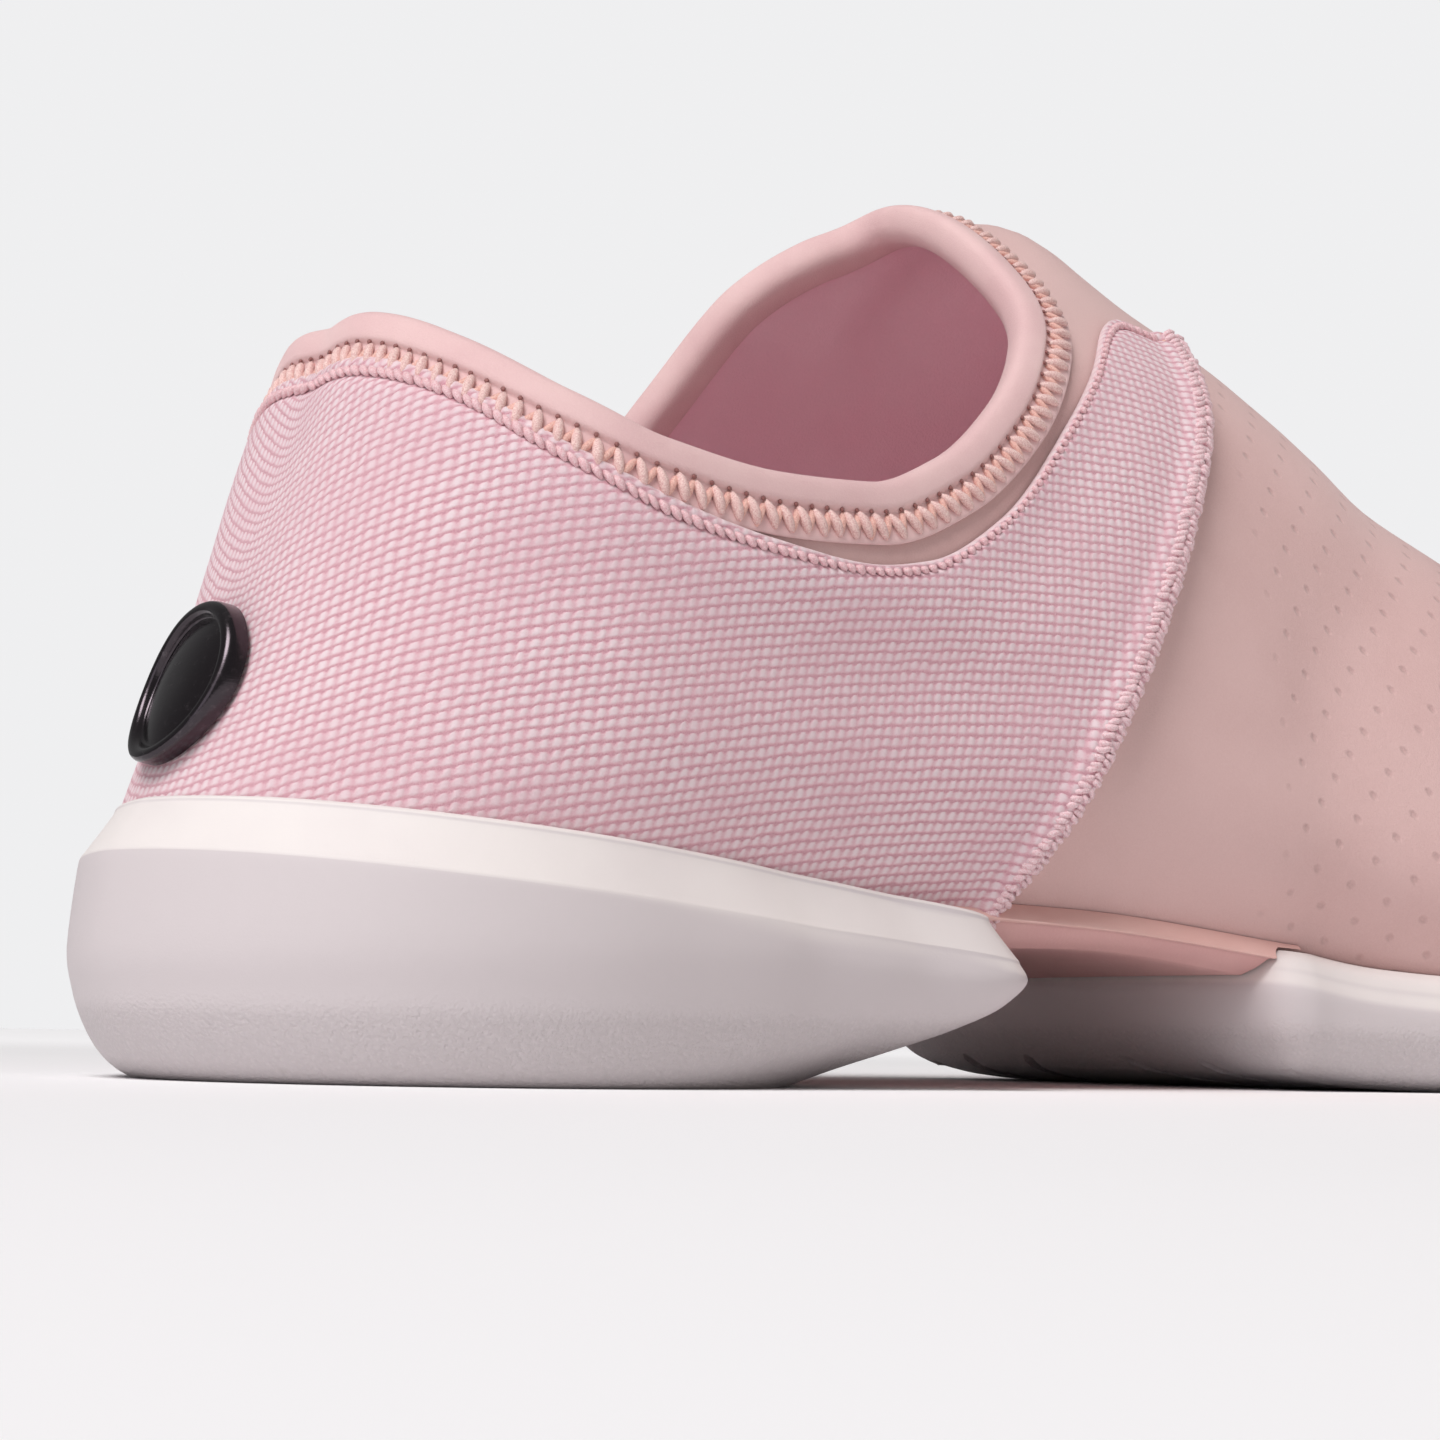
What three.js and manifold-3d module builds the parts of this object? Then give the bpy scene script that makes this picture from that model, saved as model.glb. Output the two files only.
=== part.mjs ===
// A split-sole slip-on dance sneaker for the right foot, standing unbent on its heel and forefoot units.
// Millimetres. +X points to the toe, +Y to the wearer's left (the inner side), +Z up.

import * as THREE from 'three';
import { mergeVertices } from 'three/addons/utils/BufferGeometryUtils.js';
import Module from 'manifold-3d';

const wasm = await Module();
wasm.setup();

// Driving dimensions of a women's EU 38.
const SHOE_LENGTH = 258;
const HALF_BALL = 43;
const INSTEP_HEIGHT = 82;
const HEEL_SEAT = 14;
const HALF_HEEL = 34;

// Walls, overlays and gaps.
const WALL = 2;
const GAP = 0.3;
const QUARTER_THICKNESS = 1.2;
const SEAM_RISE = 0.8;
const LASTING_MARGIN = 9;
const INSOLE_THICKNESS = 3;
const INSOLE_INSET = 3.4;
const ARCH_THICKNESS = 2.6;
const WELT = 4.2;

// How finely the round forms are faceted.
const COLUMNS_A_SIDE = 24;
const RIM_COLUMNS_A_SIDE = 18;
const OUTLINE_POINTS = 44;
const DISC_SEGMENTS = 24;

// Spine of the last: a row for each section, from the back of the heel to the tip of the toe.
// along: share of the length. across: share of the half ball width. turn: degrees that the section's plane
// has turned from straight sideways, back below zero and forward above. seat: height of the last's bottom,
// as a share of the heel seat's. ridge: top of the section, as a share of the instep height.
const SPINE = [
  { along: 0.116, across: 0.00, turn: -90, seat: 1.00, ridge: 1.17 },
  { along: 0.120, across: 0.00, turn: -48, seat: 1.00, ridge: 1.17 },
  { along: 0.151, across: 0.00, turn: -8, seat: 1.00, ridge: 1.17 },
  { along: 0.236, across: 0.04, turn: 0, seat: 1.04, ridge: 1.15 },
  { along: 0.360, across: 0.14, turn: 0, seat: 1.13, ridge: 1.145 },
  { along: 0.457, across: 0.10, turn: 0, seat: 0.96, ridge: 1.08 },
  { along: 0.585, across: 0.08, turn: 0, seat: 0.66, ridge: 0.83 },
  { along: 0.694, across: 0.10, turn: 2, seat: 0.57, ridge: 0.66 },
  { along: 0.775, across: 0.14, turn: 14, seat: 0.61, ridge: 0.56 },
  { along: 0.816, across: 0.16, turn: 50, seat: 0.82, ridge: 0.53 },
  { along: 0.826, across: 0.16, turn: 90, seat: 1.00, ridge: 0.525 },
];

// Section of the last in each row, as reaches from the spine in shares of the half ball width:
// foot at the feather edge, belly at the widest place, shoulder where the wall turns over to the ridge.
// bellyUp and shoulderUp are heights as shares of the instep height.
const OUTER_SIDE = [
  { foot: 0.555, belly: 0.555, shoulder: 0.25, bellyUp: 0.27, shoulderUp: 0.70 },
  { foot: 0.56, belly: 0.565, shoulder: 0.34, bellyUp: 0.29, shoulderUp: 0.72 },
  { foot: 0.62, belly: 0.685, shoulder: 0.60, bellyUp: 0.40, shoulderUp: 0.76 },
  { foot: 0.65, belly: 0.74, shoulder: 0.66, bellyUp: 0.42, shoulderUp: 0.75 },
  { foot: 0.76, belly: 0.88, shoulder: 0.67, bellyUp: 0.44, shoulderUp: 0.90 },
  { foot: 0.78, belly: 0.88, shoulder: 0.65, bellyUp: 0.37, shoulderUp: 0.85 },
  { foot: 1.00, belly: 1.07, shoulder: 0.72, bellyUp: 0.29, shoulderUp: 0.67 },
  { foot: 1.03, belly: 1.09, shoulder: 0.76, bellyUp: 0.26, shoulderUp: 0.54 },
  { foot: 0.98, belly: 1.02, shoulder: 0.74, bellyUp: 0.25, shoulderUp: 0.48 },
  { foot: 0.88, belly: 0.91, shoulder: 0.67, bellyUp: 0.28, shoulderUp: 0.455 },
  { foot: 0.94, belly: 0.965, shoulder: 0.68, bellyUp: 0.30, shoulderUp: 0.45 },
];
const INNER_SIDE = [
  { foot: 0.555, belly: 0.555, shoulder: 0.25, bellyUp: 0.27, shoulderUp: 0.70 },
  { foot: 0.56, belly: 0.565, shoulder: 0.34, bellyUp: 0.29, shoulderUp: 0.72 },
  { foot: 0.62, belly: 0.685, shoulder: 0.60, bellyUp: 0.40, shoulderUp: 0.76 },
  { foot: 0.61, belly: 0.72, shoulder: 0.64, bellyUp: 0.42, shoulderUp: 0.75 },
  { foot: 0.47, belly: 0.62, shoulder: 0.47, bellyUp: 0.47, shoulderUp: 0.91 },
  { foot: 0.57, belly: 0.68, shoulder: 0.52, bellyUp: 0.39, shoulderUp: 0.85 },
  { foot: 0.73, belly: 0.80, shoulder: 0.57, bellyUp: 0.30, shoulderUp: 0.68 },
  { foot: 0.83, belly: 0.87, shoulder: 0.63, bellyUp: 0.27, shoulderUp: 0.55 },
  { foot: 0.82, belly: 0.85, shoulder: 0.62, bellyUp: 0.26, shoulderUp: 0.49 },
  { foot: 0.84, belly: 0.87, shoulder: 0.63, bellyUp: 0.28, shoulderUp: 0.455 },
  { foot: 0.94, belly: 0.965, shoulder: 0.68, bellyUp: 0.30, shoulderUp: 0.45 },
];

// Side view of the rim on the outer and the inner side, and of the overlay's top edge and front seam:
// x from the back, z from the floor. The inner rim is the higher one in front.
const RIM_BACK = [
  { x: 10, z: 71.6 },
  { x: 16, z: 70.8 },
  { x: 21, z: 68.2 },
  { x: 25, z: 64.2 },
  { x: 31, z: 58.8 },
  { x: 39, z: 55 },
  { x: 51, z: 53.4 },
];
const COLLAR_PEAK = { x: 93, z: 93.9 };
const OUTER_RIM = [
  ...RIM_BACK,
  { x: 62, z: 54 },
  { x: 72, z: 58 },
  { x: 82, z: 66 },
  { x: 88, z: 73.5 },
  { x: 91.4, z: 79.5 },
  { x: 92.6, z: 85.5 },
  COLLAR_PEAK,
  { x: 93.3, z: 112 },
];
const INNER_RIM = [
  ...RIM_BACK,
  { x: 60, z: 55.5 },
  { x: 68, z: 63 },
  { x: 75, z: 75 },
  { x: 81, z: 86 },
  { x: 87, z: 91 },
  COLLAR_PEAK,
  { x: 98, z: 102 },
];
const QUARTER_TOP = [
  { x: 10, z: 68 },
  { x: 16, z: 67.2 },
  { x: 21, z: 64.6 },
  { x: 25, z: 60.6 },
  { x: 31, z: 55 },
  { x: 39, z: 51 },
  { x: 50, z: 48.4 },
  { x: 60, z: 47.4 },
  { x: 68, z: 48.6 },
  { x: 78, z: 54 },
  { x: 90, z: 66 },
  { x: 101, z: 78.5 },
  { x: 108, z: 88 },
];
const FRONT_SEAM = [
  { z: 14, x: 78 },
  { z: 20, x: 82 },
  { z: 35, x: 91 },
  { z: 55, x: 102.5 },
  { z: 70, x: 110.5 },
  { z: 90, x: 117 },
];
const SEAM_WIDTH = 3;
const SEAM_FOOT = 15.8;
const QUARTER_FOOT = 15.6;
const THROAT = { start: 92, end: 150, outer: -17, inner: 24, foot: 60 };

// Heel unit in plan, as reaches from the pivot's axis in shares of half the heel's width, at the lip and at
// the floor. angle: degrees from the back of the heel. wing: how far the row belongs to a wing of the unit.
const PIVOT_X = 37.4;
const HEEL_PLAN = [
  { angle: 0, lip: 1.076, floor: 0.865, wing: 0 },
  { angle: 45, lip: 1.035, floor: 0.865, wing: 0 },
  { angle: 90, lip: 1.000, floor: 0.865, wing: 0 },
  { angle: 115, lip: 1.076, floor: 0.871, wing: 0.2 },
  { angle: 132, lip: 1.279, floor: 0.882, wing: 0.7 },
  { angle: 143, lip: 1.559, floor: 0.897, wing: 1 },
  { angle: 150, lip: 1.485, floor: 0.912, wing: 1 },
  { angle: 162, lip: 1.235, floor: 0.941, wing: 0.5 },
  { angle: 180, lip: 1.118, floor: 0.971, wing: 0 },
];
const HEEL_LIP = [
  { x: 0, z: 25 },
  { x: 20, z: 22.6 },
  { x: 42, z: 20.4 },
  { x: 66, z: 17.6 },
  { x: 86, z: 15 },
];

// Side of a sole unit from the floor up. toFloor: share of the way from the widest outline to the floor's
// outline. inset: how far in from the widest outline. up: height in millimetres, from the floor or from the
// lip. wingUp: the same height out on the wings, whose undersides rise sooner.
const HEEL_WALL = [
  { toFloor: 1.00, inset: 0, up: 0, wingUp: 0, fromLip: false },
  { toFloor: 0.80, inset: 0, up: 0.5, wingUp: 1.7, fromLip: false },
  { toFloor: 0.55, inset: 0, up: 1.8, wingUp: 3.6, fromLip: false },
  { toFloor: 0.30, inset: 0, up: 4.2, wingUp: 5.6, fromLip: false },
  { toFloor: 0.10, inset: 0, up: 7.6, wingUp: 7.8, fromLip: false },
  { toFloor: 0.00, inset: 0, up: 11.5, wingUp: 10.2, fromLip: false },
  { toFloor: 0.00, inset: 2.0, up: -4.4, wingUp: -3.4, fromLip: true },
  { toFloor: 0.00, inset: 3.4, up: -0.5, wingUp: -0.5, fromLip: true },
  { toFloor: 0.00, inset: 4.0, up: 0, wingUp: 0, fromLip: true },
];
const FOREFOOT_WALL = [
  { inset: 7.4, up: -4 },
  { inset: 7.0, up: 0 },
  { inset: 3.6, up: 0.9 },
  { inset: 1.3, up: 2.8 },
  { inset: 0.2, up: 5.4 },
  { inset: 0.0, up: 7.4 },
  { inset: 1.0, up: 10.2 },
  { inset: 2.0, up: 11.6 },
  { inset: 2.8, up: 12.0 },
];

// Forefoot unit in side view: height of its bottom above the floor, flat under the ball.
const FOREFOOT_BACK = 114.5;
const FOREFOOT_BOTTOM = [
  { x: 108, z: 4.4 },
  { x: 118, z: 2.2 },
  { x: 128, z: 0.6 },
  { x: 138, z: 0 },
  { x: 200, z: 0 },
  { x: 215, z: 0.9 },
  { x: 230, z: 3.2 },
  { x: 245, z: 6.6 },
  { x: 262, z: 11.4 },
];

// Pivot discs, their recesses and the ring groove round the heel's.
const DISC_RADIUS = 21;
const HEEL_DISC_DEPTH = 6.5;
const FOREFOOT_DISC_DEPTH = 4.2;
const FOREFOOT_PIVOT = { x: 172, y: 1 };
const GROOVE = { inner: 27.4, outer: 28.8, depth: 0.9 };
// Underside of a disc from its middle out: r as a share of the radius, up as a share of the depth.
const DISC_PROFILE = [
  { r: 0.00, up: 0.38 },
  { r: 0.24, up: 0.33 },
  { r: 0.40, up: 0.13 },
  { r: 0.51, up: 0.065 },
  { r: 0.62, up: 0.19 },
  { r: 0.66, up: 0.46 },
  { r: 0.74, up: 0.46 },
  { r: 0.79, up: 0.17 },
  { r: 0.88, up: 0.06 },
  { r: 0.96, up: 0.10 },
  { r: 1.00, up: 0.26 },
];

// Two arcs pressed into the forefoot's underside, round its disc.
const ARC_GROOVES = [
  { radius: 27, from: -70, to: 70 },
  { radius: 33, from: 120, to: 240 },
];
const ARC_GROOVE_WIDTH = 1.6;
const ARC_GROOVE_DEPTH = 0.8;

// Plain oval plate on the back of the heel.
const BADGE = { middle: 34.6, halfHeight: 7.4, halfWidth: 7.8, rim: 1.5, thickness: 1.4, rimRise: 0.7 };

// Colours and finishes.
const finish = (color, roughness, metalness = 0) => (
  new THREE.MeshStandardMaterial({ color, roughness, metalness }));
const MATERIALS = {
  smoothKnit: finish(0xc99a97, 0.85),
  canvas: finish(0xe4c2c8, 0.95),
  binding: finish(0xe4bdbf, 0.8),
  lining: finish(0xe3b9be, 0.9),
  sole: finish(0xd8cdcb, 0.6),
  disc: finish(0xc99aa8, 0.45),
  arch: finish(0xb98480, 0.55),
  badge: finish(0x3a3638, 0.25, 1),
};

// A smooth curve through a table's values that never overshoots them.
function smooth(keys, values) {
  const end = keys.length - 1;
  const slopes = [];
  for (let i = 0; i < end; i++) slopes.push((values[i + 1] - values[i]) / (keys[i + 1] - keys[i]));
  const tangents = keys.map((key, i) => {
    const before = slopes[Math.max(i - 1, 0)];
    const after = slopes[Math.min(i, end - 1)];
    return before * after > 0 ? (2 * before * after) / (before + after) : 0;
  });
  return (at) => {
    let i = 0;
    while (i < end - 1 && at > keys[i + 1]) i++;
    const step = keys[i + 1] - keys[i];
    const t = THREE.MathUtils.clamp((at - keys[i]) / step, 0, 1);
    const rise = t * t * (3 - 2 * t);
    const leave = t * (1 - t) * (1 - t) * step;
    const arrive = t * t * (t - 1) * step;
    return values[i] + rise * (values[i + 1] - values[i]) + leave * tangents[i] + arrive * tangents[i + 1];
  };
}

const column = (rows, name) => rows.map((row) => row[name]);
const curve = (rows, key, name) => smooth(column(rows, key), column(rows, name));

const quarterTop = curve(QUARTER_TOP, 'x', 'z');
const frontSeam = curve(FRONT_SEAM, 'z', 'x');
const heelLip = curve(HEEL_LIP, 'x', 'z');
const heelPlanLip = curve(HEEL_PLAN, 'angle', 'lip');
const heelPlanFloor = curve(HEEL_PLAN, 'angle', 'floor');
const heelPlanWing = curve(HEEL_PLAN, 'angle', 'wing');
const forefootBottom = curve(FOREFOOT_BOTTOM, 'x', 'z');

// The last: a row's value at any place along the spine, from 0 at the heel to TOE at the toe.
// The rows are mirrored past both ends, so the two sides meet smoothly there.
const TOE = SPINE.length - 1;
function alongSpine(rows, name, mirrored = (value) => value) {
  const values = column(rows, name);
  const keys = values.map((value, i) => i);
  return smooth(
    [-1, ...keys, TOE + 1],
    [mirrored(values[1], -1), ...values, mirrored(values[TOE - 1], 1)],
  );
}
const spine = {
  along: alongSpine(SPINE, 'along'),
  across: alongSpine(SPINE, 'across'),
  turn: alongSpine(SPINE, 'turn', (value, end) => end * 180 - value),
  seat: alongSpine(SPINE, 'seat'),
  ridge: alongSpine(SPINE, 'ridge'),
};
const sideCurves = (rows) => {
  const names = ['foot', 'belly', 'shoulder', 'bellyUp', 'shoulderUp'];
  return Object.fromEntries(names.map((name) => [name, alongSpine(rows, name)]));
};
const OUTER = { sign: -1, rimHeight: curve(OUTER_RIM, 'x', 'z'), ...sideCurves(OUTER_SIDE) };
const INNER = { sign: 1, rimHeight: curve(INNER_RIM, 'x', 'z'), ...sideCurves(INNER_SIDE) };

// Where a section stands: its spine point and the level direction that its half points in.
function station(side, place) {
  const turn = THREE.MathUtils.degToRad(spine.turn(place));
  return {
    x: spine.along(place) * SHOE_LENGTH,
    y: spine.across(place) * HALF_BALL,
    dx: Math.sin(turn),
    dy: side.sign * Math.cos(turn),
    seat: spine.seat(place) * HEEL_SEAT,
    ridge: spine.ridge(place) * INSTEP_HEIGHT,
    foot: side.foot(place) * HALF_BALL,
  };
}

function pointAt(at, reach, z) {
  return new THREE.Vector3(at.x + reach * at.dx, at.y + reach * at.dy, z);
}

// The wall of one section, from the feather edge's underside at 0 to the ridge at 1.
const FEATHER_RADIUS = 3.5;
const WALL_SPANS = 4;
function sectionWall(side, place) {
  const at = station(side, place);
  const belly = side.belly(place) * HALF_BALL;
  const shoulder = side.shoulder(place) * HALF_BALL;
  const bellyZ = side.bellyUp(place) * INSTEP_HEIGHT;
  const shoulderZ = side.shoulderUp(place) * INSTEP_HEIGHT;
  const line = new THREE.SplineCurve([
    new THREE.Vector2(at.foot - 2 * FEATHER_RADIUS, at.seat),
    new THREE.Vector2(at.foot - FEATHER_RADIUS, at.seat),
    new THREE.Vector2(at.foot, at.seat + FEATHER_RADIUS),
    new THREE.Vector2(belly, bellyZ),
    new THREE.Vector2(shoulder, shoulderZ),
    new THREE.Vector2(0, at.ridge),
    new THREE.Vector2(-shoulder, shoulderZ),
  ]);
  return (share) => {
    const point = line.getPoint((1 + share * WALL_SPANS) / (WALL_SPANS + 2));
    return pointAt(at, point.x, point.y);
  };
}

// Shares up the wall at which the last is faceted: few at the feather edge, more over the shoulder.
const WALL_STEPS = [1, 2, 3, 5];
const WALL_SHARES = [0];
WALL_STEPS.forEach((steps, span) => {
  for (let i = 1; i <= steps; i++) WALL_SHARES.push((span + i / steps) / WALL_SPANS);
});

// Round the last once: down the outer side to the toe and back up the inner side.
const PERIMETER = [];
for (let i = 0; i < COLUMNS_A_SIDE; i++) PERIMETER.push({ side: OUTER, place: (i * TOE) / COLUMNS_A_SIDE });
for (let i = COLUMNS_A_SIDE; i > 0; i--) PERIMETER.push({ side: INNER, place: (i * TOE) / COLUMNS_A_SIDE });

const middleOf = (ring) => ring.reduce((sum, p) => sum.add(p), new THREE.Vector3()).divideScalar(ring.length);

// A closed mesh through rings of equal length, each ring seen from above going the same way round.
function loft(rings, capped = true) {
  const positions = [];
  const triangle = (a, b, c) => [a, b, c].forEach((p) => positions.push(p.x, p.y, p.z));
  const count = rings[0].length;
  for (let level = 0; level < rings.length - 1; level++) {
    const low = rings[level];
    const high = rings[level + 1];
    for (let i = 0; i < count; i++) {
      const j = (i + 1) % count;
      triangle(low[i], low[j], high[j]);
      triangle(low[i], high[j], high[i]);
    }
  }
  if (capped) {
    const [bottom, top] = [rings[0], rings[rings.length - 1]];
    const [bottomMiddle, topMiddle] = [middleOf(bottom), middleOf(top)];
    for (let i = 0; i < count; i++) {
      const j = (i + 1) % count;
      triangle(bottom[j], bottom[i], bottomMiddle);
      triangle(top[i], top[j], topMiddle);
    }
  }
  const geometry = new THREE.BufferGeometry();
  geometry.setAttribute('position', new THREE.Float32BufferAttribute(positions, 3));
  return geometry;
}

// Shared vertices merged, and triangles that have shrunk to a line left out.
function weld(geometry) {
  const bare = geometry.clone();
  const spare = Object.keys(bare.attributes).filter((name) => name !== 'position');
  spare.forEach((name) => bare.deleteAttribute(name));
  const merged = mergeVertices(bare, 1e-4);
  const index = merged.getIndex().array;
  const kept = [];
  for (let i = 0; i < index.length; i += 3) {
    const [a, b, c] = [index[i], index[i + 1], index[i + 2]];
    if (a !== b && b !== c && c !== a) kept.push(a, b, c);
  }
  merged.setIndex(kept);
  return merged;
}

function solidOf(geometry) {
  const merged = weld(geometry);
  return new wasm.Manifold(new wasm.Mesh({
    numProp: 3,
    vertProperties: new Float32Array(merged.getAttribute('position').array),
    triVerts: new Uint32Array(merged.getIndex().array),
  }));
}

function geometryOf(solid) {
  const mesh = solid.getMesh();
  const geometry = new THREE.BufferGeometry();
  geometry.setAttribute('position', new THREE.BufferAttribute(new Float32Array(mesh.vertProperties), 3));
  geometry.setIndex(new THREE.BufferAttribute(new Uint32Array(mesh.triVerts), 1));
  return geometry;
}

// Welded skin of the last with its normals, from the middle of its bottom up to its ridge.
const lastSkin = (() => {
  const walls = PERIMETER.map(({ side, place }) => sectionWall(side, place));
  const stations = PERIMETER.map(({ side, place }) => station(side, place));
  const rings = [
    stations.map((at) => pointAt(at, 0, at.seat)),
    stations.map((at) => pointAt(at, at.foot - 3 * FEATHER_RADIUS, at.seat)),
    ...WALL_SHARES.map((share) => walls.map((wall) => wall(share))),
  ];
  const skin = weld(loft(rings, false));
  skin.computeVertexNormals();
  return skin;
})();

// The last as a closed body, grown by a distance along its own normals.
const grownLasts = new Map();
function last(grow) {
  if (!grownLasts.has(grow)) {
    const skin = lastSkin.clone();
    const position = skin.getAttribute('position');
    const normal = lastSkin.getAttribute('normal');
    for (let i = 0; i < position.count; i++) {
      position.setXYZ(
        i,
        position.getX(i) + grow * normal.getX(i),
        position.getY(i) + grow * normal.getY(i),
        position.getZ(i) + grow * normal.getZ(i),
      );
    }
    grownLasts.set(grow, solidOf(skin));
  }
  return grownLasts.get(grow);
}

// Bodies for cutting: a side view pushed through the whole width, a plain block, and a profile turned round
// an upright axis. They reach well past the shoe on the sides that don't cut.
const CUT_HALF_WIDTH = 80;
const CUT_TOP = 140;
const BEHIND_HEEL = -10;
const BELOW_FLOOR = -5;
function sidePrism(points) {
  const shape = new THREE.Shape(points.map(({ x, z }) => new THREE.Vector2(x, z)));
  const geometry = new THREE.ExtrudeGeometry(shape, { depth: 2 * CUT_HALF_WIDTH, bevelEnabled: false });
  geometry.rotateX(Math.PI / 2);
  geometry.translate(0, CUT_HALF_WIDTH, 0);
  return solidOf(geometry);
}
function block(low, high) {
  const geometry = new THREE.BoxGeometry(high.x - low.x, high.y - low.y, high.z - low.z);
  geometry.translate((low.x + high.x) / 2, (low.y + high.y) / 2, (low.z + high.z) / 2);
  return solidOf(geometry);
}
function turned(profile) {
  const geometry = new THREE.LatheGeometry(profile.map(({ r, z }) => new THREE.Vector2(r, z)), DISC_SEGMENTS);
  geometry.rotateX(Math.PI / 2);
  return solidOf(geometry);
}
function sampled(from, to, steps, at) {
  return Array.from({ length: steps + 1 }, (_, i) => at(from + ((to - from) * i) / steps));
}

// Everything above the rim: above the inner side's line right across, and above the outer side's line on
// the outer side alone.
const RIM_CUT_STEPS = 44;
const RIM_FRONT = { outer: 93.3, inner: 96 };
const COLLAR_ROW = 4;
function aboveRim({ rimHeight }, back, front) {
  return sidePrism([
    ...sampled(back, front, RIM_CUT_STEPS, (x) => ({ x, z: rimHeight(x) })),
    { x: front, z: CUT_TOP },
    { x: back, z: CUT_TOP },
  ]);
}
const outerHalf = block(
  new THREE.Vector3(BEHIND_HEEL, -CUT_HALF_WIDTH, 0),
  new THREE.Vector3(SHOE_LENGTH / 2, spine.across(COLLAR_ROW) * HALF_BALL, CUT_TOP + 1),
);
const overRim = aboveRim(INNER, 0, RIM_FRONT.inner)
  .add(aboveRim(OUTER, 0, RIM_FRONT.outer).intersect(outerHalf));

// The rim's points on the last, with the skin's normal. Along the sides they are found section by section,
// and in front, where the rim climbs steeply, height by height.
function heightOverRim(side, place, share) {
  const point = sectionWall(side, place)(share);
  return point.z - side.rimHeight(point.x);
}
const HALVINGS = 40;
function bisect(low, high, above) {
  for (let i = 0; i < HALVINGS; i++) {
    const middle = (low + high) / 2;
    if (above(middle)) high = middle;
    else low = middle;
  }
  return (low + high) / 2;
}
const NORMAL_STEP = 0.002;
function skinNormal(side, place, share) {
  const low = Math.min(share, 1 - NORMAL_STEP);
  const up = sectionWall(side, place)(low + NORMAL_STEP).sub(sectionWall(side, place)(low));
  const on = sectionWall(side, place + NORMAL_STEP)(low).sub(sectionWall(side, place - NORMAL_STEP)(low));
  return up.cross(on).multiplyScalar(-side.sign).normalize();
}
const RIM_TURN = 3.6;
const RIM_SIDE_SHARE = 0.62;
const RIM_SHARES = [0.3, 1];
const RIM_PLACES = [3.2, 5];
const rimShare = (side, place) => bisect(...RIM_SHARES, (share) => heightOverRim(side, place, share) > 0);
const rimPlace = (side, share) => bisect(...RIM_PLACES, (place) => heightOverRim(side, place, share) < 0);
function rimPoint(side, along) {
  const turnShare = rimShare(side, RIM_TURN);
  const onSide = along < RIM_SIDE_SHARE;
  const climb = (along - RIM_SIDE_SHARE) / (1 - RIM_SIDE_SHARE);
  const sidePlace = (RIM_TURN * along) / RIM_SIDE_SHARE;
  const share = onSide ? rimShare(side, sidePlace) : turnShare + (1 - turnShare) * climb;
  const place = onSide ? sidePlace : rimPlace(side, share);
  return { point: sectionWall(side, place)(share), normal: skinNormal(side, place, share) };
}
const rim = [
  ...sampled(0, 1, RIM_COLUMNS_A_SIDE, (along) => rimPoint(OUTER, along)),
  ...sampled(1, 0, RIM_COLUMNS_A_SIDE, (along) => rimPoint(INNER, along)).slice(1, -1),
];

// The rolled binding: a rounded band swept round the rim. out is along the normal and up along the skin, and
// the section's rows are shares of half its thickness and half its height.
const BINDING = { outside: 1.1, inside: WALL + 1.1, below: 3.0, above: 1.6 };
const BINDING_SECTION = [
  { out: 1, up: 0 },
  { out: 1, up: 0.62 },
  { out: 0.62, up: 0.94 },
  { out: 0, up: 1 },
  { out: -0.62, up: 0.94 },
  { out: -1, up: 0.62 },
  { out: -1, up: -0.62 },
  { out: -0.8, up: -1 },
  { out: 0.8, up: -1 },
  { out: 1, up: -0.62 },
];
function binding(grow) {
  const middleOut = (BINDING.outside - BINDING.inside) / 2;
  const middleUp = (BINDING.above - BINDING.below) / 2;
  const halfOut = (BINDING.outside + BINDING.inside) / 2 + grow;
  const halfUp = (BINDING.above + BINDING.below) / 2 + grow;
  const sections = rim.map(({ point, normal }, i) => {
    const before = rim[(i + rim.length - 1) % rim.length].point;
    const after = rim[(i + 1) % rim.length].point;
    const tangent = after.clone().sub(before).normalize();
    const up = normal.clone().cross(tangent).normalize();
    if (up.z < 0) up.negate();
    return BINDING_SECTION.map((corner) => point.clone()
      .addScaledVector(normal, middleOut + corner.out * halfOut)
      .addScaledVector(up, middleUp + corner.up * halfUp));
  });
  const loops = BINDING_SECTION.map((_, k) => sections.map((section) => section[k]));
  return solidOf(loft([...loops, loops[0]].reverse(), false));
}

// Inside of the upper's lasting margin, where the sole closes the upper from below.
const stationsRound = PERIMETER.map(({ side, place }) => station(side, place));
const levelRing = (inset, up) => stationsRound.map((at) => pointAt(at, at.foot - inset, at.seat + up));
const levelSpine = (up) => stationsRound.map((at) => pointAt(at, 0, at.seat + up));
const UNDER_CUT_DEPTH = 12;
const UNDER_CUT_SPARE = 2;
const underOpening = solidOf(loft([
  levelSpine(-UNDER_CUT_DEPTH),
  levelRing(LASTING_MARGIN, -UNDER_CUT_DEPTH),
  levelRing(LASTING_MARGIN, WALL + UNDER_CUT_SPARE),
  levelSpine(WALL + UNDER_CUT_SPARE),
], false));

const upper = last(0)
  .subtract(last(-WALL))
  .subtract(overRim)
  .subtract(binding(GAP))
  .subtract(underOpening);

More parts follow.
